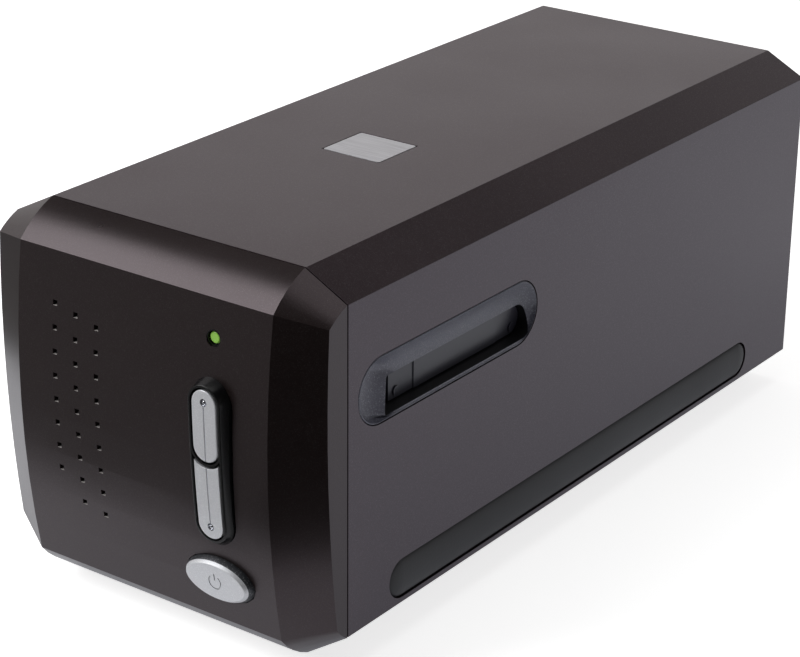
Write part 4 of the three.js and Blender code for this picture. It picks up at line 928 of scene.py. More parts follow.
@dataclass
class ControlPanel:
    """The two scan buttons in their collar, the power button and the status lamp."""

    x: float = 26.0
    half: float = 4.25
    top: float = 84.8
    upper_bottom: float = 63.4
    bottom: float = 39.6
    bridge: float = 1.9
    gap: float = 0.62
    hole_over: float = 4.0
    front: float = 136.0
    thickness: float = 4.5
    edge: float = 0.38
    lean: float = 890.0
    pitch: float = 2.5
    bend_over: float = 0.01
    groove_width: float = 0.42
    groove_depth: float = 0.35
    dimple: float = 1.15
    dimple_rise: float = 0.2
    dimple_inset: float = 3.6
    pin: float = 0.72
    pin_foot: float = 132.7
    stem: float = 1.8
    stem_tip: float = 124.7
    stem_root: float = 0.5
    border: float = 1.35
    collar_front: float = 135.95
    collar_skirt: float = 1.45
    collar_foot: float = 131.3
    collar_edge: float = 0.25
    thin_edge: float = 0.12
    flange: float = 1.2
    flange_front: float = 128.8
    power_z: float = 25.6
    power_half: Pair = (12.0, 7.0)
    power_flange: Pair = (125.13, 126.33)
    power_foot: float = 130.3
    power_wall: Pair = (0.75, 1.6)
    power_bevel: Pair = (0.8, 0.95)
    power_edge: float = 0.2
    power_lean: float = 0.139
    power_slope: float = 0.45
    sign_radius: float = 2.1
    sign_width: float = 0.34
    sign_depth: float = 0.18
    sign_opening: float = 70.0
    sign_stroke: Pair = (0.6, 2.7)
    lamp_z: float = 98.3
    lamp_radius: float = 1.75
    lamp_front: float = 130.6
    lamp_dome: float = 1.3
    ring_radius: float = 2.45
    ring_back: float = 128.9
    ring_front: float = 131.0
    ring_wall: float = 0.35
    ring_slope: Pair = (0.05, -0.9)

    def build(self) -> None:
        """Builds the pieces of the panel."""
        seam, inset = self.upper_bottom - self.bridge, self.dimple_inset
        self.scan_button("upper", self.upper_outline(), (self.top + self.upper_bottom) / 2,
                         (seam, self.top - inset), self.top - inset)
        self.scan_button("lower", self.lower_outline(), (seam + self.bottom) / 2,
                         (self.bottom + inset, self.upper_bottom + self.bridge),
                         self.bottom + inset)
        self.collar()
        self.power_button()
        self.lamp()

    def reach(self, grow: float) -> Pair:
        """Where a button's bar starts and ends, or the wider cutter of its hole.

        Args:
            grow: How much wider than a button it is on each side.

        Returns:
            Its back and its front.
        """
        if grow:
            return self.flange_front - self.hole_over, self.front + self.hole_over
        return self.front - self.thickness, self.front

    def prism(self, low: float, high: float, grow: float) -> Workpiece:
        """A stadium-shaped bar on the panel's centre line.

        Args:
            low: Its lowest height.
            high: Its highest.
            grow: How much wider than a button it is on each side.

        Returns:
            The bar.
        """
        back, front = self.reach(grow)
        piece = Workpiece()
        face = piece.stadium(self.x, (low + high) / 2, self.half + grow,
                             (high - low) / 2 + grow, back)
        piece.raise_face(face, front)
        return piece

    def upper_outline(self, grow: float = 0.0) -> Workpiece:
        """The upper button's bar, a stadium."""
        return self.prism(self.upper_bottom, self.top, grow)

    def lower_outline(self, grow: float = 0.0) -> Workpiece:
        """The lower button's bar, hollowed at its top to follow the upper button.

        Args:
            grow: How much wider than the button it is on each side.

        Returns:
            The bar.
        """
        back, front = self.reach(grow)
        back, front, room = back - OVER, front + OVER, 10 * OVER
        centre, radius = self.upper_bottom + self.half, self.half + self.bridge - grow
        piece = self.prism(self.bottom, self.upper_bottom + 2 * self.half, grow)
        piece.carve(Workpiece().column(self.x, centre, radius, back, front, 96))
        piece.carve(Workpiece().block((self.x - room, centre, back),
                                      (self.x + room, self.top + room, front)))
        return piece

    def scan_button(self, word: str, piece: Workpiece, stem_z: float, groove: Pair,
                    dimple_z: float) -> None:
        """Finishes one scan button.

        Args:
            word: Its name, upper or lower.
            piece: Its bar.
            stem_z: The height of its stem.
            groove: The lowest and the highest point of its fine groove.
            dimple_z: The height of its dimple.
        """
        back, half = self.front - self.thickness, self.groove_width / 2
        piece.round_rim(self.front, self.edge, 4)
        piece.carve(Workpiece().block(
            (self.x - half, groove[0], self.front - self.groove_depth),
            (self.x + half, groove[1], self.front + OVER)))
        for radius, rise, operation in ((self.dimple, self.dimple_rise, "DIFFERENCE"),
                                        (self.pin, -self.pin, "UNION")):
            ball = Workpiece()
            place = Matrix.Translation((self.x, dimple_z, self.front + rise))
            bmesh.ops.create_uvsphere(ball.mesh, u_segments=32, v_segments=16, radius=radius,
                                      matrix=place)
            piece.carve(ball, operation)
        self.lean_back(piece, back + self.bend_over)
        self.add_stem(piece, stem_z, back)
        made = piece.finish(f"{word}_scan_cap", Facing.FRONT, SILVER_PAINT)
        recoat(made, SILVER_PIN, lambda face, place: place.y < -self.pin_foot and math.hypot(
            place.x - self.x, place.z - dimple_z) < self.dimple)
        settle(made, f"{word}_button", f"{word}_scan_button")

    def add_stem(self, piece: Workpiece, z: float, back: float) -> None:
        """Joins the stem that presses a switch to a button.

        Args:
            piece: The button.
            z: The height of the stem.
            back: How far out the button's back lies.
        """
        piece.carve(Workpiece().column(self.x, z, self.stem, self.stem_tip,
                                       back + self.stem_root), "UNION")

    def lean_back(self, piece: Workpiece, above: float) -> None:
        """Bends the front of a piece back towards its bottom, as the bezel's face curves.

        Args:
            piece: The piece.
            above: How far out the part that bends begins.
        """
        piece.slice_up(self.bottom + self.pitch, self.top - self.pitch, self.pitch)
        for vert in piece.mesh.verts:
            if vert.co.z > above:
                vert.co.z -= max(self.top - vert.co.y, 0.0) ** 2 / self.lean

    def collar(self) -> None:
        """Builds the black collar round both scan buttons, with a sloping outer wall."""
        piece = Workpiece()
        grow = self.border + self.collar_skirt + self.flange
        face = piece.stadium(self.x, (self.bottom + self.top) / 2, self.half + grow,
                             (self.top - self.bottom) / 2 + grow,
                             self.flange_front - self.flange)
        face = piece.raise_face(face, self.flange_front)
        face = piece.step_in(face, self.flange)
        face = piece.raise_face(face, self.collar_foot)
        piece.step_in(face, self.collar_skirt, self.collar_front - self.collar_foot)
        piece.round_rim(self.collar_front, self.collar_edge, 3)
        piece.carve(self.upper_outline(self.gap))
        piece.carve(self.lower_outline(self.gap))
        piece.round_rim(self.collar_front, self.thin_edge, 2)
        self.lean_back(piece, self.collar_foot + self.bend_over)
        made = piece.finish("scan_button_collar", Facing.FRONT, COLLAR_PLASTIC)
        settle(made, "housing", "button_collar")

    def power_button(self) -> None:
        """Builds the oval power button with its engraved sign, its side walls darkened as painted
        shade.
        """
        piece = Workpiece()
        half_u, half_v = (half + self.flange for half in self.power_half)
        low, high = self.power_flange
        face = piece.disc(self.x, self.power_z, half_u, half_v, low, 96)
        face = piece.raise_face(face, high)
        face = piece.step_in(face, self.flange)
        face = piece.raise_face(face, self.power_foot)
        face = piece.step_in(face, *self.power_wall)
        piece.step_in(face, *self.power_bevel)
        wall_top = self.power_foot + self.power_wall[1]
        front = wall_top + self.power_bevel[1]
        piece.round_rim(front, self.thin_edge, 2)
        piece.round_rim(wall_top, self.power_edge, 3)
        piece.carve(self.power_sign(front))
        for vert in piece.mesh.verts:
            if vert.co.z > self.power_foot - self.bend_over:
                vert.co.z += (vert.co.y - self.power_z) * self.power_lean
        self.add_stem(piece, self.power_z, low)
        made = piece.finish("power_cap", Facing.FRONT, SILVER_PAINT)
        # The side walls get the darker silver as painted shade and dark reflection.
        recoat(made, SILVER_WALL_PAINTED_SHADE, lambda face, place: abs(face.normal.y) < self.power_slope)
        settle(made, "power_key", "power_button")

    def lamp(self) -> None:
        """Builds the round green lens of the status lamp, set back in a black ring."""
        piece = Workpiece()
        radius = self.ring_radius
        face = piece.disc(self.x, self.lamp_z, radius, radius, self.ring_back, 48)
        face = piece.raise_face(face, self.ring_front)
        face = piece.step_in(face, self.ring_wall)
        face = piece.step_in(face, *self.ring_slope)
        face = piece.step_in(
            face, radius - (self.ring_wall + self.ring_slope[0]) - self.lamp_radius)
        piece.raise_face(face, self.lamp_front)
        piece.round_rim(self.lamp_front, self.lamp_dome, 8)
        made = piece.finish("status_lens", Facing.FRONT, LAMP_LENS)
        recoat(made, COLLAR_PLASTIC, lambda face, place: math.hypot(
            place.x - self.x, place.z - self.lamp_z) > self.lamp_radius + self.bend_over)
        settle(made, "housing", "light_pipe")

    def power_sign(self, front: float) -> Workpiece:
        """The cutter of the engraved power sign, an open ring with an upright stroke.

        Args:
            front: How far out the button's face lies.

        Returns:
            The cutter.
        """
        half, low, high = self.sign_width / 2, front - self.sign_depth, front + OVER
        radius = self.sign_radius
        cut = Workpiece()
        corners = ((-half, low), (half, low), (half, high), (-half, high))
        face = cut.mesh.faces.new([cut.mesh.verts.new((radius + u, 0.0, w))
                                   for u, w in corners])
        opening = math.radians(self.sign_opening)
        turned = Matrix.Rotation(math.pi / 2 + opening / 2, 4, "Z")
        bmesh.ops.transform(cut.mesh, matrix=turned, verts=cut.mesh.verts)
        bmesh.ops.spin(cut.mesh, geom=[face, *face.edges, *face.verts], cent=(0, 0, 0),
                       axis=(0, 0, 1), angle=2 * math.pi - opening, steps=36)
        ends = [edge for edge in cut.mesh.edges if edge.is_boundary]
        if ends:
            bmesh.ops.contextual_create(cut.mesh, geom=ends)
        cut.block((-half, self.sign_stroke[0], low), (half, self.sign_stroke[1], high))
        bmesh.ops.translate(cut.mesh, vec=(self.x, self.power_z, 0.0), verts=cut.mesh.verts)
        return cut


@dataclass
class FilmSlot:
    """The film slot in one side: the insert, a dish that falls to a throat, and the dust door."""

    side: Side
    start: float = -111.4
    end: float = -25.1
    low: float = 72.0
    high: float = 91.7
    loop: int = 96
    cuts: int = 24
    face_x: float = 59.4
    back_x: float = 53.5
    flange_front: float = 56.6
    flange: float = 2.0
    edge: float = 0.35
    edge_steps: int = 3
    throat_start: float = -92.4
    throat_end: float = -27.8
    throat_low: float = 73.1
    throat_high: float = 82.8
    throat_room: float = 0.1
    throat_slope: float = 0.9
    throat_wall: float = 0.15
    mouth_start: float = -99.4
    mouth_slant: float = 4.4
    mouth_run: float = 30.0
    mouth_step: float = 0.2
    front_square: float = 12.0
    mouth_square: float = 3.0
    throat_square: float = 2.0
    depth: float = 3.1
    lip: float = 0.25
    hollow: float = 2.4
    dish_steps: int = 12
    scoop: float = 2.2
    scoop_start: float = 6.0
    scoop_run: float = 12.0
    scoop_width: float = 9.0
    scoop_skew: float = 0.7
    door_start: float = -93.4
    door_end: float = -26.8
    door_back: float = 51.45
    door_face: float = 52.95
    door_lap: float = 1.0
    pad_face: float = 54.7
    pad_root: float = 0.5
    pad_low: float = 0.5
    pad_high: float = 0.3
    pad_front: float = 0.5
    pad_end: float = 0.3
    pad_end_half: float = 16.2
    pad_joint: float = 17.2
    panel_inset: float = 13.0
    panel_rise: float = 0.3
    hook_inset: float = 5.0
    hook_up: float = 2.6
    hook_radius: float = 1.5
    hook_wall: float = 0.1
    hook_shift: Pair = (0.35, -0.2)
    hook_rise: float = 0.45
    hook_over: float = 2.0
    pin: Pair = (86.4, 51.2)
    barrel: float = 2.0
    bore: float = 1.3
    ears: tuple[Pair, Pair] = ((-95.4, -93.7), (-26.5, -24.8))
    ear_root: float = 0.3
    ear_over: float = 4.0

    def build(self) -> None:
        """Builds the insert and the door."""
        word, facing = self.side.word, self.side.facing
        insert = self.insert().finish(f"{word}_slot_insert", facing, INSERT_PLASTIC)
        # The throat's walls get painted shade.
        recoat(insert, THROAT_PAINTED_SHADE, self.in_throat)
        settle(insert, "housing", f"{word}_slot_bezel")
        door = self.door().finish(f"{word}_door_leaf", facing, DOOR_PLASTIC)
        settle(door, f"{word}_door", f"{word}_dust_door")

    def rise(self, v: float) -> float:
        """How high a point lies in the throat, from 0 at its floor to 1 at its top."""
        return (v - self.throat_low) / (self.throat_high - self.throat_low)

    def in_throat(self, face: MeshPolygon, place: Vector) -> bool:
        """Whether a face of the insert is a wall of the throat, which gets a near-black colour as
        painted shade of the deep slot.

        Args:
            face: The face.
            place: Its centre.

        Returns:
            True for a wall.
        """
        rise, room = self.rise(place.z), self.throat_room
        below = self.face_x - self.lip - (self.depth - self.lip) * rise - self.throat_wall
        mouth = self.mouth_start + self.mouth_slant * rise
        return (self.throat_low - room < place.z < self.throat_high + room
                and mouth < place.y < self.throat_end + room
                and abs(place.x) < below and abs(face.normal.x) < self.throat_slope)

    def door(self) -> Workpiece:
        """Builds the door: a leaf on its barrel, a pad that fills the throat, and two hooks.

        Returns:
            The closed door.
        """
        low, high = self.throat_low + self.pad_low, self.throat_high - self.pad_high
        root = self.door_face - self.pad_root
        piece = Workpiece().block(
            (self.door_start, self.throat_low - self.door_lap, self.door_back),
            (self.door_end, self.pin[0], self.door_face))
        rear = Workpiece()
        rear.raise_face(rear.stadium(self.throat_end - self.pad_end - self.pad_end_half,
                                     (low + high) / 2, self.pad_end_half, (high - low) / 2,
                                     root, 32), self.pad_face)
        front = Workpiece().block(
            (self.throat_start + self.pad_front, low, root),
            (self.throat_end - self.pad_joint, high, self.pad_face))
        panel = Workpiece().block(
            (self.door_start + self.panel_inset, low, root),
            (self.door_end - self.panel_inset, high, self.pad_face + self.panel_rise))
        hooks = (self.hook(self.door_start + self.hook_inset),
                 self.hook(self.door_end - self.hook_inset))
        for part in (rear, front, panel, self.rod(self.barrel, 0.0), *hooks):
            piece.carve(part, "UNION")
        piece.carve(self.rod(self.bore, OVER))
        return piece

    def rod(self, radius: float, extra: float) -> Workpiece:
        """A rod along the door's pin.

        Args:
            radius: Its radius.
            extra: How far it runs past the door at each end.

        Returns:
            The rod.
        """
        made = Workpiece()
        place = Matrix.Translation(((self.door_start + self.door_end) / 2, *self.pin))
        bmesh.ops.create_cone(made.mesh, cap_ends=True, segments=32, radius1=radius,
                              radius2=radius,
                              depth=self.door_end - self.door_start + 2 * extra,
                              matrix=place @ Matrix.Rotation(math.pi / 2, 4, "Y"))
        return made

    def hook(self, u: float) -> Workpiece:
        """A thin curved hook on the door's face.

        Args:
            u: Its place along the door.

        Returns:
            The hook.
        """
        v, radius = self.throat_low + self.hook_up, self.hook_radius
        shift_u, shift_v = self.hook_shift
        made = Workpiece().column(u, v, radius, self.door_face, self.pad_face + self.hook_rise)
        made.carve(Workpiece().column(u + shift_u, v + shift_v, radius - self.hook_wall,
                                      self.door_face - OVER, self.pad_face + self.hook_over))
        return made

    def insert(self) -> Workpiece:
        """Sweeps the insert as rings, from the back of its flange over the rim to the throat.

        Returns:
            The closed insert.
        """
        piece = Workpiece()
        radius, centre_v = (self.high - self.low) / 2, (self.low + self.high) / 2
        face = piece.stadium((self.start + self.end) / 2, centre_v,
                             (self.end - self.start) / 2, radius, self.back_x, self.loop)
        longest = sorted(face.edges, key=lambda edge: -edge.calc_length())[:2]
        bmesh.ops.delete(piece.mesh, geom=[face], context="FACES_ONLY")
        bmesh.ops.subdivide_edges(piece.mesh, edges=longest, cuts=self.cuts)
        first = self.walk_round(piece.mesh)
        rings = self.rings([vert.co.copy() for vert in first], centre_v, radius)
        for vert, place in zip(first, rings[0], strict=True):
            vert.co = place
        last = first
        for ring in rings[1:]:
            last = self.next_ring(piece.mesh, last, ring)
        for index, (near, far) in enumerate(zip(last, first, strict=True)):
            after = (index + 1) % len(first)
            piece.mesh.faces.new((near, last[after], first[after], far))
        bmesh.ops.remove_doubles(piece.mesh, verts=piece.mesh.verts, dist=MERGE)
        self.add_ears(piece)
        return piece

    @staticmethod
    def walk_round(mesh: BMesh) -> list[BMVert]:
        """Walks along a single closed wire.

        Args:
            mesh: The mesh that holds it.

        Returns:
            Its corners, in order.
        """
        mesh.verts.ensure_lookup_table()
        first = mesh.verts[0]
        ring, edge = [first], first.link_edges[0]
        while edge.other_vert(ring[-1]) is not first:
            ring.append(edge.other_vert(ring[-1]))
            edge = next(other for other in ring[-1].link_edges if other is not edge)
        return ring

    @staticmethod
    def next_ring(mesh: BMesh, ring: list[BMVert], places: list[Vector]) -> list[BMVert]:
        """Extrudes a ring of edges and moves the new ring into place.

        Args:
            mesh: The mesh.
            ring: The last ring.
            places: The places of the new one.

        Returns:
            The new ring, in the same order.
        """
        edges = [mesh.edges.get(pair) for pair in zip(ring, ring[1:] + ring[:1], strict=True)]
        grown = bmesh.ops.extrude_edge_only(mesh, edges=edges)
        fresh = {item for item in grown["geom"] if isinstance(item, BMVert)}
        made = [next(edge.other_vert(vert) for edge in vert.link_edges
                     if edge.other_vert(vert) in fresh) for vert in ring]
        for vert, place in zip(made, places, strict=True):
            vert.co = place
        return made

    def mouth_point(self, place: Vector, centre_v: float, radius: float, start: float,
                    rear_power: float) -> Vector:
        """Where the dish meets the throat, for a point of its rim.

        Args:
            place: The point of the rim.
            centre_v: The height of the slot's centre line.
            radius: The radius of the slot's round ends.
            start: Where the throat's square front end lies.
            rear_power: How square its rear end is, from 2 for round.

        Returns:
            The point on the throat's outline, at height 0.
        """
        half = (self.throat_high - self.throat_low) / 2
        middle = (self.throat_high + self.throat_low) / 2
        near, far = self.start + radius, self.end - radius
        inner_near, inner_far = start + half, self.throat_end - half
        if near < place.x < far:
            share = (place.x - near) / (far - near)
            return Vector((inner_near + share * (inner_far - inner_near),
                           middle + math.copysign(half, place.y - centre_v), 0.0))
        base, inner, power = ((near, inner_near, self.front_square) if place.x <= near
                              else (far, inner_far, rear_power))
        out = Vector(((place.x - base) / radius, (place.y - centre_v) / radius))
        size = (abs(out.x) ** power + abs(out.y) ** power) ** (1 / power)
        return Vector((inner + half * out.x / size, middle + half * out.y / size, 0.0))

    def rings(self, outline: list[Vector], centre_v: float,
              radius: float) -> list[list[Vector]]:
        """The rings of the insert.

        Args:
            outline: The rim, seen flat.
            centre_v: The height of the slot's centre line.
            radius: The radius of the slot's round ends.

        Returns:
            Rings of places, each in the outline's order.
        """
        def spread(grow: float, w: float) -> list[Vector]:
            """A ring round the rim.

            Args:
                grow: How far outside the rim it lies.
                w: How far out it lies.

            Returns:
                Its places.
            """
            ring = []
            for place in outline:
                core_u = min(max(place.x, self.start + radius), self.end - radius)
                out = (place.xy - Vector((core_u, centre_v))).normalized() * grow
                ring.append(Vector((place.x + out.x, place.y + out.y, w)))
            return ring

        throat, mouth = (
            [self.mouth_point(place, centre_v, radius, start, power) for place in outline]
            for start, power in ((self.throat_start, self.throat_square),
                                 (self.mouth_start, self.mouth_square)))
        for place in mouth:
            fade = 1 - ease((place.x - self.mouth_start) / self.mouth_run)
            place.x += self.mouth_slant * self.rise(place.y) * fade
        edge_foot = self.face_x - self.edge
        rings = [spread(self.flange, self.back_x), spread(self.flange, self.flange_front),
                 spread(0.0, self.flange_front), spread(0.0, edge_foot)]
        for step in range(1, self.edge_steps + 1):
            angle = step / self.edge_steps * math.pi / 2
            rings.append(spread(-self.edge * (1 - math.cos(angle)),
                                edge_foot + self.edge * math.sin(angle)))
        inner = spread(-self.edge, self.face_x)
        for step in range(1, self.dish_steps + 1):
            rings.append([self.dish_point(start, end, step / self.dish_steps, radius)
                          for start, end in zip(inner, mouth, strict=True)])
        rings.append([Vector((end.x, end.y, last.z - self.mouth_step))
                      for end, last in zip(mouth, rings[-1], strict=True)])
        rings.append([Vector((end.x, end.y, self.back_x)) for end in throat])
        return rings

    def dish_point(self, start: Vector, end: Vector, share: float, radius: float) -> Vector:
        """A point of the finger dish.

        Args:
            start: The point of the rim that it comes from.
            end: The point of the throat's mouth that it goes to.
            share: How far it is on its way.
            radius: The radius of the slot's round ends.

        Returns:
            The point.
        """
        deep = self.lip + (self.depth - self.lip) * self.rise(end.y)
        ahead = ease((self.start + radius + self.scoop_start - start.x) / self.scoop_run)
        wide = min((end.xy - start.xy).length / self.scoop_width, 1.0) ** 2
        scoop = self.scoop * wide * ahead * math.sin(math.pi * share ** self.scoop_skew)
        drop = 1 - (1 - share) ** self.hollow + scoop / deep
        place = start.xy + (end.xy - start.xy) * share
        return Vector((place.x, place.y, self.face_x - deep * drop))

    def add_ears(self, piece: Workpiece) -> None:
        """Joins the two ears that hold the door's pin to the back of the insert.

        Args:
            piece: The insert.
        """
        pin_v, pin_x = self.pin
        for near, far in self.ears:
            ear = Workpiece().block(
                (near, pin_v - self.barrel, pin_x - self.barrel),
                (far, pin_v + self.barrel, self.back_x + self.ear_root))
            ear.carve(self.rod(self.bore, self.ear_over))
            piece.carve(ear, "UNION")


@dataclass
class SideGrip:
    """The long rubber strip low on one side."""

    side: Side
    start: float = -96.6
    end: float = 107.4
    centre: float = 19.8
    half: float = 5.9
    seat: float = 58.4
    shoulder: float = 58.55
    crown: float = 60.0
    arch: float = 5.8
    steps: int = 10

    def build(self) -> None:
        """Builds the strip with its rounded crown."""
        piece = Workpiece()
        face = piece.stadium((self.start + self.end) / 2, self.centre,
                             (self.end - self.start) / 2, self.half, self.seat, 64)
        face = piece.raise_face(face, self.shoulder)
        done_in = done_up = 0.0
        for step in range(1, self.steps + 1):
            angle = step / self.steps * math.pi / 2
            to_in = self.arch * (1 - math.cos(angle))
            to_up = (self.crown - self.shoulder) * math.sin(angle)
            face = piece.step_in(face, to_in - done_in, to_up - done_up)
            done_in, done_up = to_in, to_up
        made = piece.finish(f"{self.side.word}_grip_strip", self.side.facing, RUBBER)
        settle(made, "housing", f"{self.side.word}_side_grip")


@dataclass
class Badge:
    """The bare metal plate let into the top."""

    half_x: float = 10.4
    half_y: float = 9.45
    y: float = -27.7
    top: float = 118.5
    thickness: float = 0.5
    corner: float = 0.7
    edge: float = 0.12

    def build(self) -> None:
        """Builds the plate with rounded corners and edges."""
        piece = Workpiece().block(
            (-self.half_x, self.y - self.half_y, self.top - self.thickness),
            (self.half_x, self.y + self.half_y, self.top))
        upright = [edge for edge in piece.mesh.edges
                   if abs(edge.verts[0].co.z - edge.verts[1].co.z) > self.thickness / 2]
        bevel(piece.mesh, upright, self.corner, 5)
        piece.round_rim(self.top, self.edge, 2)
        made = piece.finish("top_badge", Facing.TOP, BADGE_METAL)
        settle(made, "housing", "badge_plate")


@dataclass
class Screw:
    """A screw with a cross in its head."""

    u: float
    v: float
    seat: float
    crown: float
    tip: float
    head: float = 2.8
    shank: float = 1.3
    edge: float = 0.7
    edge_share: float = 0.6
    neck_share: float = 1 / 3
    cross: Pair = (0.55, 3.0)
    cross_share: float = 0.55

    def build(self, name: str, facing: Facing, node: str) -> None:
        """Builds the screw.

        Args:
            name: The piece's name.
            facing: The way that its head looks.
            node: The CAD node that it stands for.
        """
        rise = self.crown - self.seat
        piece = Workpiece().column(self.u, self.v, self.shank, self.tip,
                                   self.seat + rise * self.neck_share)
        head = Workpiece().column(self.u, self.v, self.head, self.seat, self.crown, 48)
        head.round_rim(self.crown, min(self.edge, rise * self.edge_share), 4)
        floor = self.crown - rise * self.cross_share
        for width, length in (self.cross, self.cross[::-1]):
            head.carve(Workpiece().block(
                (self.u - width / 2, self.v - length / 2, floor),
                (self.u + width / 2, self.v + length / 2, self.crown + OVER)))
        piece.carve(head, "UNION")
        settle(piece.finish(name, facing, BLACK_STEEL), "housing", node)


@dataclass
class Underside:
    """The four rubber feet and the four cover screws."""

    foot_x: float = 30.0
    foot_rows: Pair = (-92.4, 110.0)
    foot_radius: float = 8.0
    foot_height: float = 3.2
    foot_rim: float = 1.6
    foot_dish: Pair = (0.5, -0.4)
    foot_edge: float = 0.3
    screw_x: float = 41.0
    screw_rows: Pair = (-108.4, 125.0)
    screw_heights: Triple = (-4.8, -3.0, -17.0)

    def build(self) -> None:
        """Builds the feet and screws."""
        rows = zip(("front", "rear"), self.foot_rows, self.screw_rows, strict=True)
        for row, foot_y, screw_y in rows:
            for side in (Side.LEFT, Side.RIGHT):
                word = f"{row}_{side.word}"
                self.foot(word, -side.value * self.foot_x, foot_y)
                Screw(-side.value * self.screw_x, screw_y, *self.screw_heights).build(
                    f"cover_screw_head_{word}", Facing.UNDER, f"cover_screw_{word}")

    def foot(self, word: str, u: float, v: float) -> None:
        """Builds one foot, with a shallow dish in its sole.

        Args:
            word: The corner's name.
            u: Its place across.
            v: Its place along.
        """
        piece = Workpiece()
        face = piece.disc(u, v, self.foot_radius, self.foot_radius, -self.foot_height, 64)
        face = piece.raise_face(face, 0.0)
        face = piece.step_in(face, self.foot_rim)
        piece.step_in(face, *self.foot_dish)
        piece.round_rim(0.0, self.foot_edge, 3)
        made = piece.finish(f"{word}_foot_pad", Facing.UNDER, RUBBER)
        settle(made, "housing", f"foot_{word}")


@dataclass
class RearScrews:
    """The two screws of the rear panel."""

    x: float = 32.0
    z: float = 96.0
    heights: Triple = (135.0, 136.0, 127.7)

    def build(self) -> None:
        """Builds both screws."""
        for side in Side:
            Screw(-side.value * self.x, self.z, *self.heights).build(
                f"rear_screw_head_{side.word}", Facing.REAR, f"rear_screw_{side.word}")


@dataclass
class CarriedNodes:
    """The CAD nodes that keep their own shape and get a procedural finish."""

    frame: dict

    def build(self) -> None:
        """Dresses every node by its material slot in the record."""
        rows = self.frame["record"]["subparts"]
        slots = {row["node"]: row["material_slot"] for row in rows}
        for name, node in self.frame["nodes"].items():
            finish = SLOT_FINISHES[slots[name]]
            node.data.materials.clear()
            node.data.materials.append(finish.material())
            LOG.info("%s keeps its CAD shape, in %s", name, finish.name)


# ---------------------------------------------------------------- studio


@dataclass(frozen=True)
class FloorCard:
    """A grey card on the floor, which only reflections show, so that what faces it is dark."""

    name: str
    low: Pair
    high: Pair
    shade: float
    height: float = 0.002
    roughness: float = 0.9

    def build(self) -> None:
        """Builds the card."""
        (low_x, low_y), (high_x, high_y) = self.low, self.high
        place = Matrix.Translation(((low_x + high_x) / 2, (low_y + high_y) / 2, self.height))
        spread = Matrix.Diagonal(((high_x - low_x) / 2, (high_y - low_y) / 2, 1.0, 1.0))
        mesh = bmesh.new()
        bmesh.ops.create_grid(mesh, x_segments=1, y_segments=1, size=1.0,
                              matrix=place @ spread)
        material, graph = node_material(f"{self.name}_felt")
        felt = graph.add("BsdfPrincipled", Base_Color=toned((self.shade,) * 3),
                         Roughness=self.roughness)
        graph.add("OutputMaterial", Surface=felt)
        card = mesh_object(mesh, self.name, material)
        card.visible_camera = card.visible_diffuse = False
        card.visible_shadow = card.visible_transmission = False


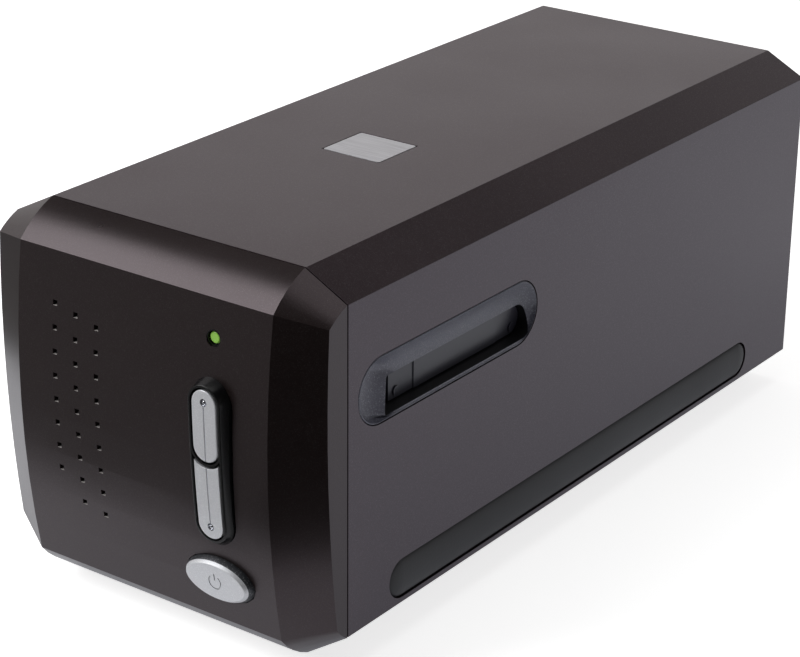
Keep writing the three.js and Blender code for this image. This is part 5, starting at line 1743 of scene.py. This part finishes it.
@dataclass
class Studio:
    """A pale floor, a sweep that darkens overhead, three soft lamps and three grey cards."""

    aim: Triple = (0.0, 0.0, 0.06)
    key_power: float = 11.5
    key_side: float = 0.9
    key_distance: float = 1.3
    key_from: Triple = (-0.55, -0.55, 0.63)
    top_power: float = 2.4
    top_side: float = 0.8
    top_place: Triple = (0.0, 0.0, 1.1)
    fill_power: float = 1.2
    fill_place: Triple = (0.75, 0.75, 0.75)
    fill_aim: Triple = (0.35, 0.30, 0.0)
    floor_radius: float = 3.0
    floor_shade: float = 0.88
    floor_lift: float = 0.48
    floor_white: float = 0.28
    floor_colour: Colour = (0.88, 0.91, 1.0)
    sweep_colour: Colour = (1.0, 0.955, 0.95)
    sweep_level: float = 0.70
    overhead_level: float = 0.09
    overhead_step: Pair = (0.40, 0.62)
    front_level: float = 0.10
    front_step: Pair = (-0.45, 0.0)
    right_level: float = 0.25
    right_step: Pair = (0.0, 0.40)
    cards: tuple[FloorCard, ...] = (
        FloorCard("front_card", (-0.02, -2.0), (1.6, -0.172), 0.01),
        FloorCard("front_left_card", (-1.6, -2.0), (-0.02, -0.172), 0.34),
        FloorCard("left_card", (-1.8, -0.178), (-0.21, 0.6), 0.20),
    )

    def build(self) -> None:
        """Builds the studio and sets how colours are shown."""
        bpy.context.scene.view_settings.view_transform = "Standard"
        self.world()
        self.floor()
        for card in self.cards:
            card.build()
        aim = Vector(self.aim)
        key = aim + Vector(self.key_from).normalized() * self.key_distance
        self.lamp("key_lamp", key, aim, self.key_power, self.key_side)
        self.lamp("top_lamp", Vector(self.top_place), Vector(), self.top_power, self.top_side)
        self.lamp("fill_lamp", Vector(self.fill_place), Vector(self.fill_aim),
                  self.fill_power, self.top_side)

    def world(self) -> None:
        """Builds the sweep: pale behind and on the left, darker overhead, in front and right."""
        world = bpy.data.worlds.new("studio_sweep")
        bpy.context.scene.world = world
        world.use_nodes = True
        world.node_tree.nodes.clear()
        graph = Graph(world.node_tree)
        place = graph.add("TexCoord").outputs["Generated"]
        towards = graph.add("SeparateXYZ", Vector=place).outputs
        level = graph.ramp(towards["Z"], *self.overhead_step, self.sweep_level,
                           self.overhead_level)
        front = graph.ramp(towards["Y"], *self.front_step, self.front_level, 1.0)
        right = graph.ramp(towards["X"], *self.right_step, 1.0, self.right_level)
        for dimming in (front, right):
            level = graph.math("MULTIPLY", level, dimming)
        back = graph.add("Background", Color=toned(self.sweep_colour), Strength=level)
        graph.add("OutputWorld", Surface=back)

    def floor(self) -> None:
        """Builds a wide white disc that keeps the scanner's shadow."""
        mesh = bmesh.new()
        bmesh.ops.create_circle(mesh, cap_ends=True, radius=self.floor_radius, segments=96)
        material, graph = node_material("white_floor")
        path = graph.add("LightPath").outputs
        camera = path["Is Camera Ray"]
        seen = graph.math("MAXIMUM", camera, path["Is Glossy Ray"])
        seen = graph.math("MAXIMUM", seen, path["Is Transmission Ray"])
        paper = graph.add("BsdfDiffuse", Color=toned((self.floor_shade,) * 3))
        level = graph.math("ADD", graph.math("MULTIPLY", seen, self.floor_lift),
                           graph.math("MULTIPLY", camera, self.floor_white))
        colour = graph.blend(camera, toned(self.floor_colour), (1.0, 1.0, 1.0, 1.0))
        lift = graph.add("Emission", Color=colour, Strength=level)
        both = graph.add("AddShader")
        for socket, shader in zip(both.inputs, (paper, lift), strict=True):
            graph.feed(socket, shader)
        graph.add("OutputMaterial", Surface=both)
        mesh_object(mesh, "studio_floor", material)

    @staticmethod
    def lamp(name: str, place: Vector, aim: Vector, power: float, side: float) -> None:
        """Adds a square soft lamp.

        Args:
            name: Its name.
            place: Where it hangs.
            aim: Where it points.
            power: Its power in watts.
            side: The length of its sides.
        """
        data = bpy.data.lights.new(name, "AREA")
        data.shape, data.size, data.energy = "SQUARE", side, power
        lamp = link(name, data)
        lamp.location = place
        lamp.rotation_mode = "QUATERNION"
        lamp.rotation_quaternion = (aim - place).to_track_quat("-Z", "Y")


@dataclass(frozen=True)
class PhotoCamera:
    """The camera at the photograph's angle, for a frame of 800 by 657."""

    place: Triple = (0.4205, -0.5884, 0.3569)
    azimuth: float = 36.09
    elevation: float = 22.98
    roll: float = 0.55
    lens: float = 111.15
    sensor: float = 36.0
    clip: Pair = (0.01, 20.0)

    def build(self) -> None:
        """Adds the camera and makes it the scene's own."""
        data = bpy.data.cameras.new("photo_camera")
        data.lens, data.sensor_width, data.sensor_fit = self.lens, self.sensor, "HORIZONTAL"
        data.clip_start, data.clip_end = self.clip
        turn, rise, roll = map(math.radians, (self.azimuth, self.elevation, self.roll))
        back = Vector((math.sin(turn) * math.cos(rise), -math.cos(turn) * math.cos(rise),
                       math.sin(rise)))
        level = Vector((math.cos(turn), math.sin(turn), 0.0))
        upright = back.cross(level)
        right = level * math.cos(roll) + upright * math.sin(roll)
        up = upright * math.cos(roll) - level * math.sin(roll)
        axes = Matrix((right, up, back)).transposed().to_4x4()
        camera = link("photo_camera", data)
        camera.matrix_world = Matrix.Translation(self.place) @ axes
        bpy.context.scene.camera = camera


def main() -> None:
    logging.basicConfig(level=logging.INFO, format="%(name)s: %(message)s")
    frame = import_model()
    PhotoCamera().build()
    Studio().build()
    CarriedNodes(frame).build()
    Housing(frame).build()
    ControlPanel().build()
    for side in Side:
        FilmSlot(side).build()
        SideGrip(side).build()
    Badge().build()
    Underside().build()
    RearScrews().build()


if __name__ == "__main__":
    main()
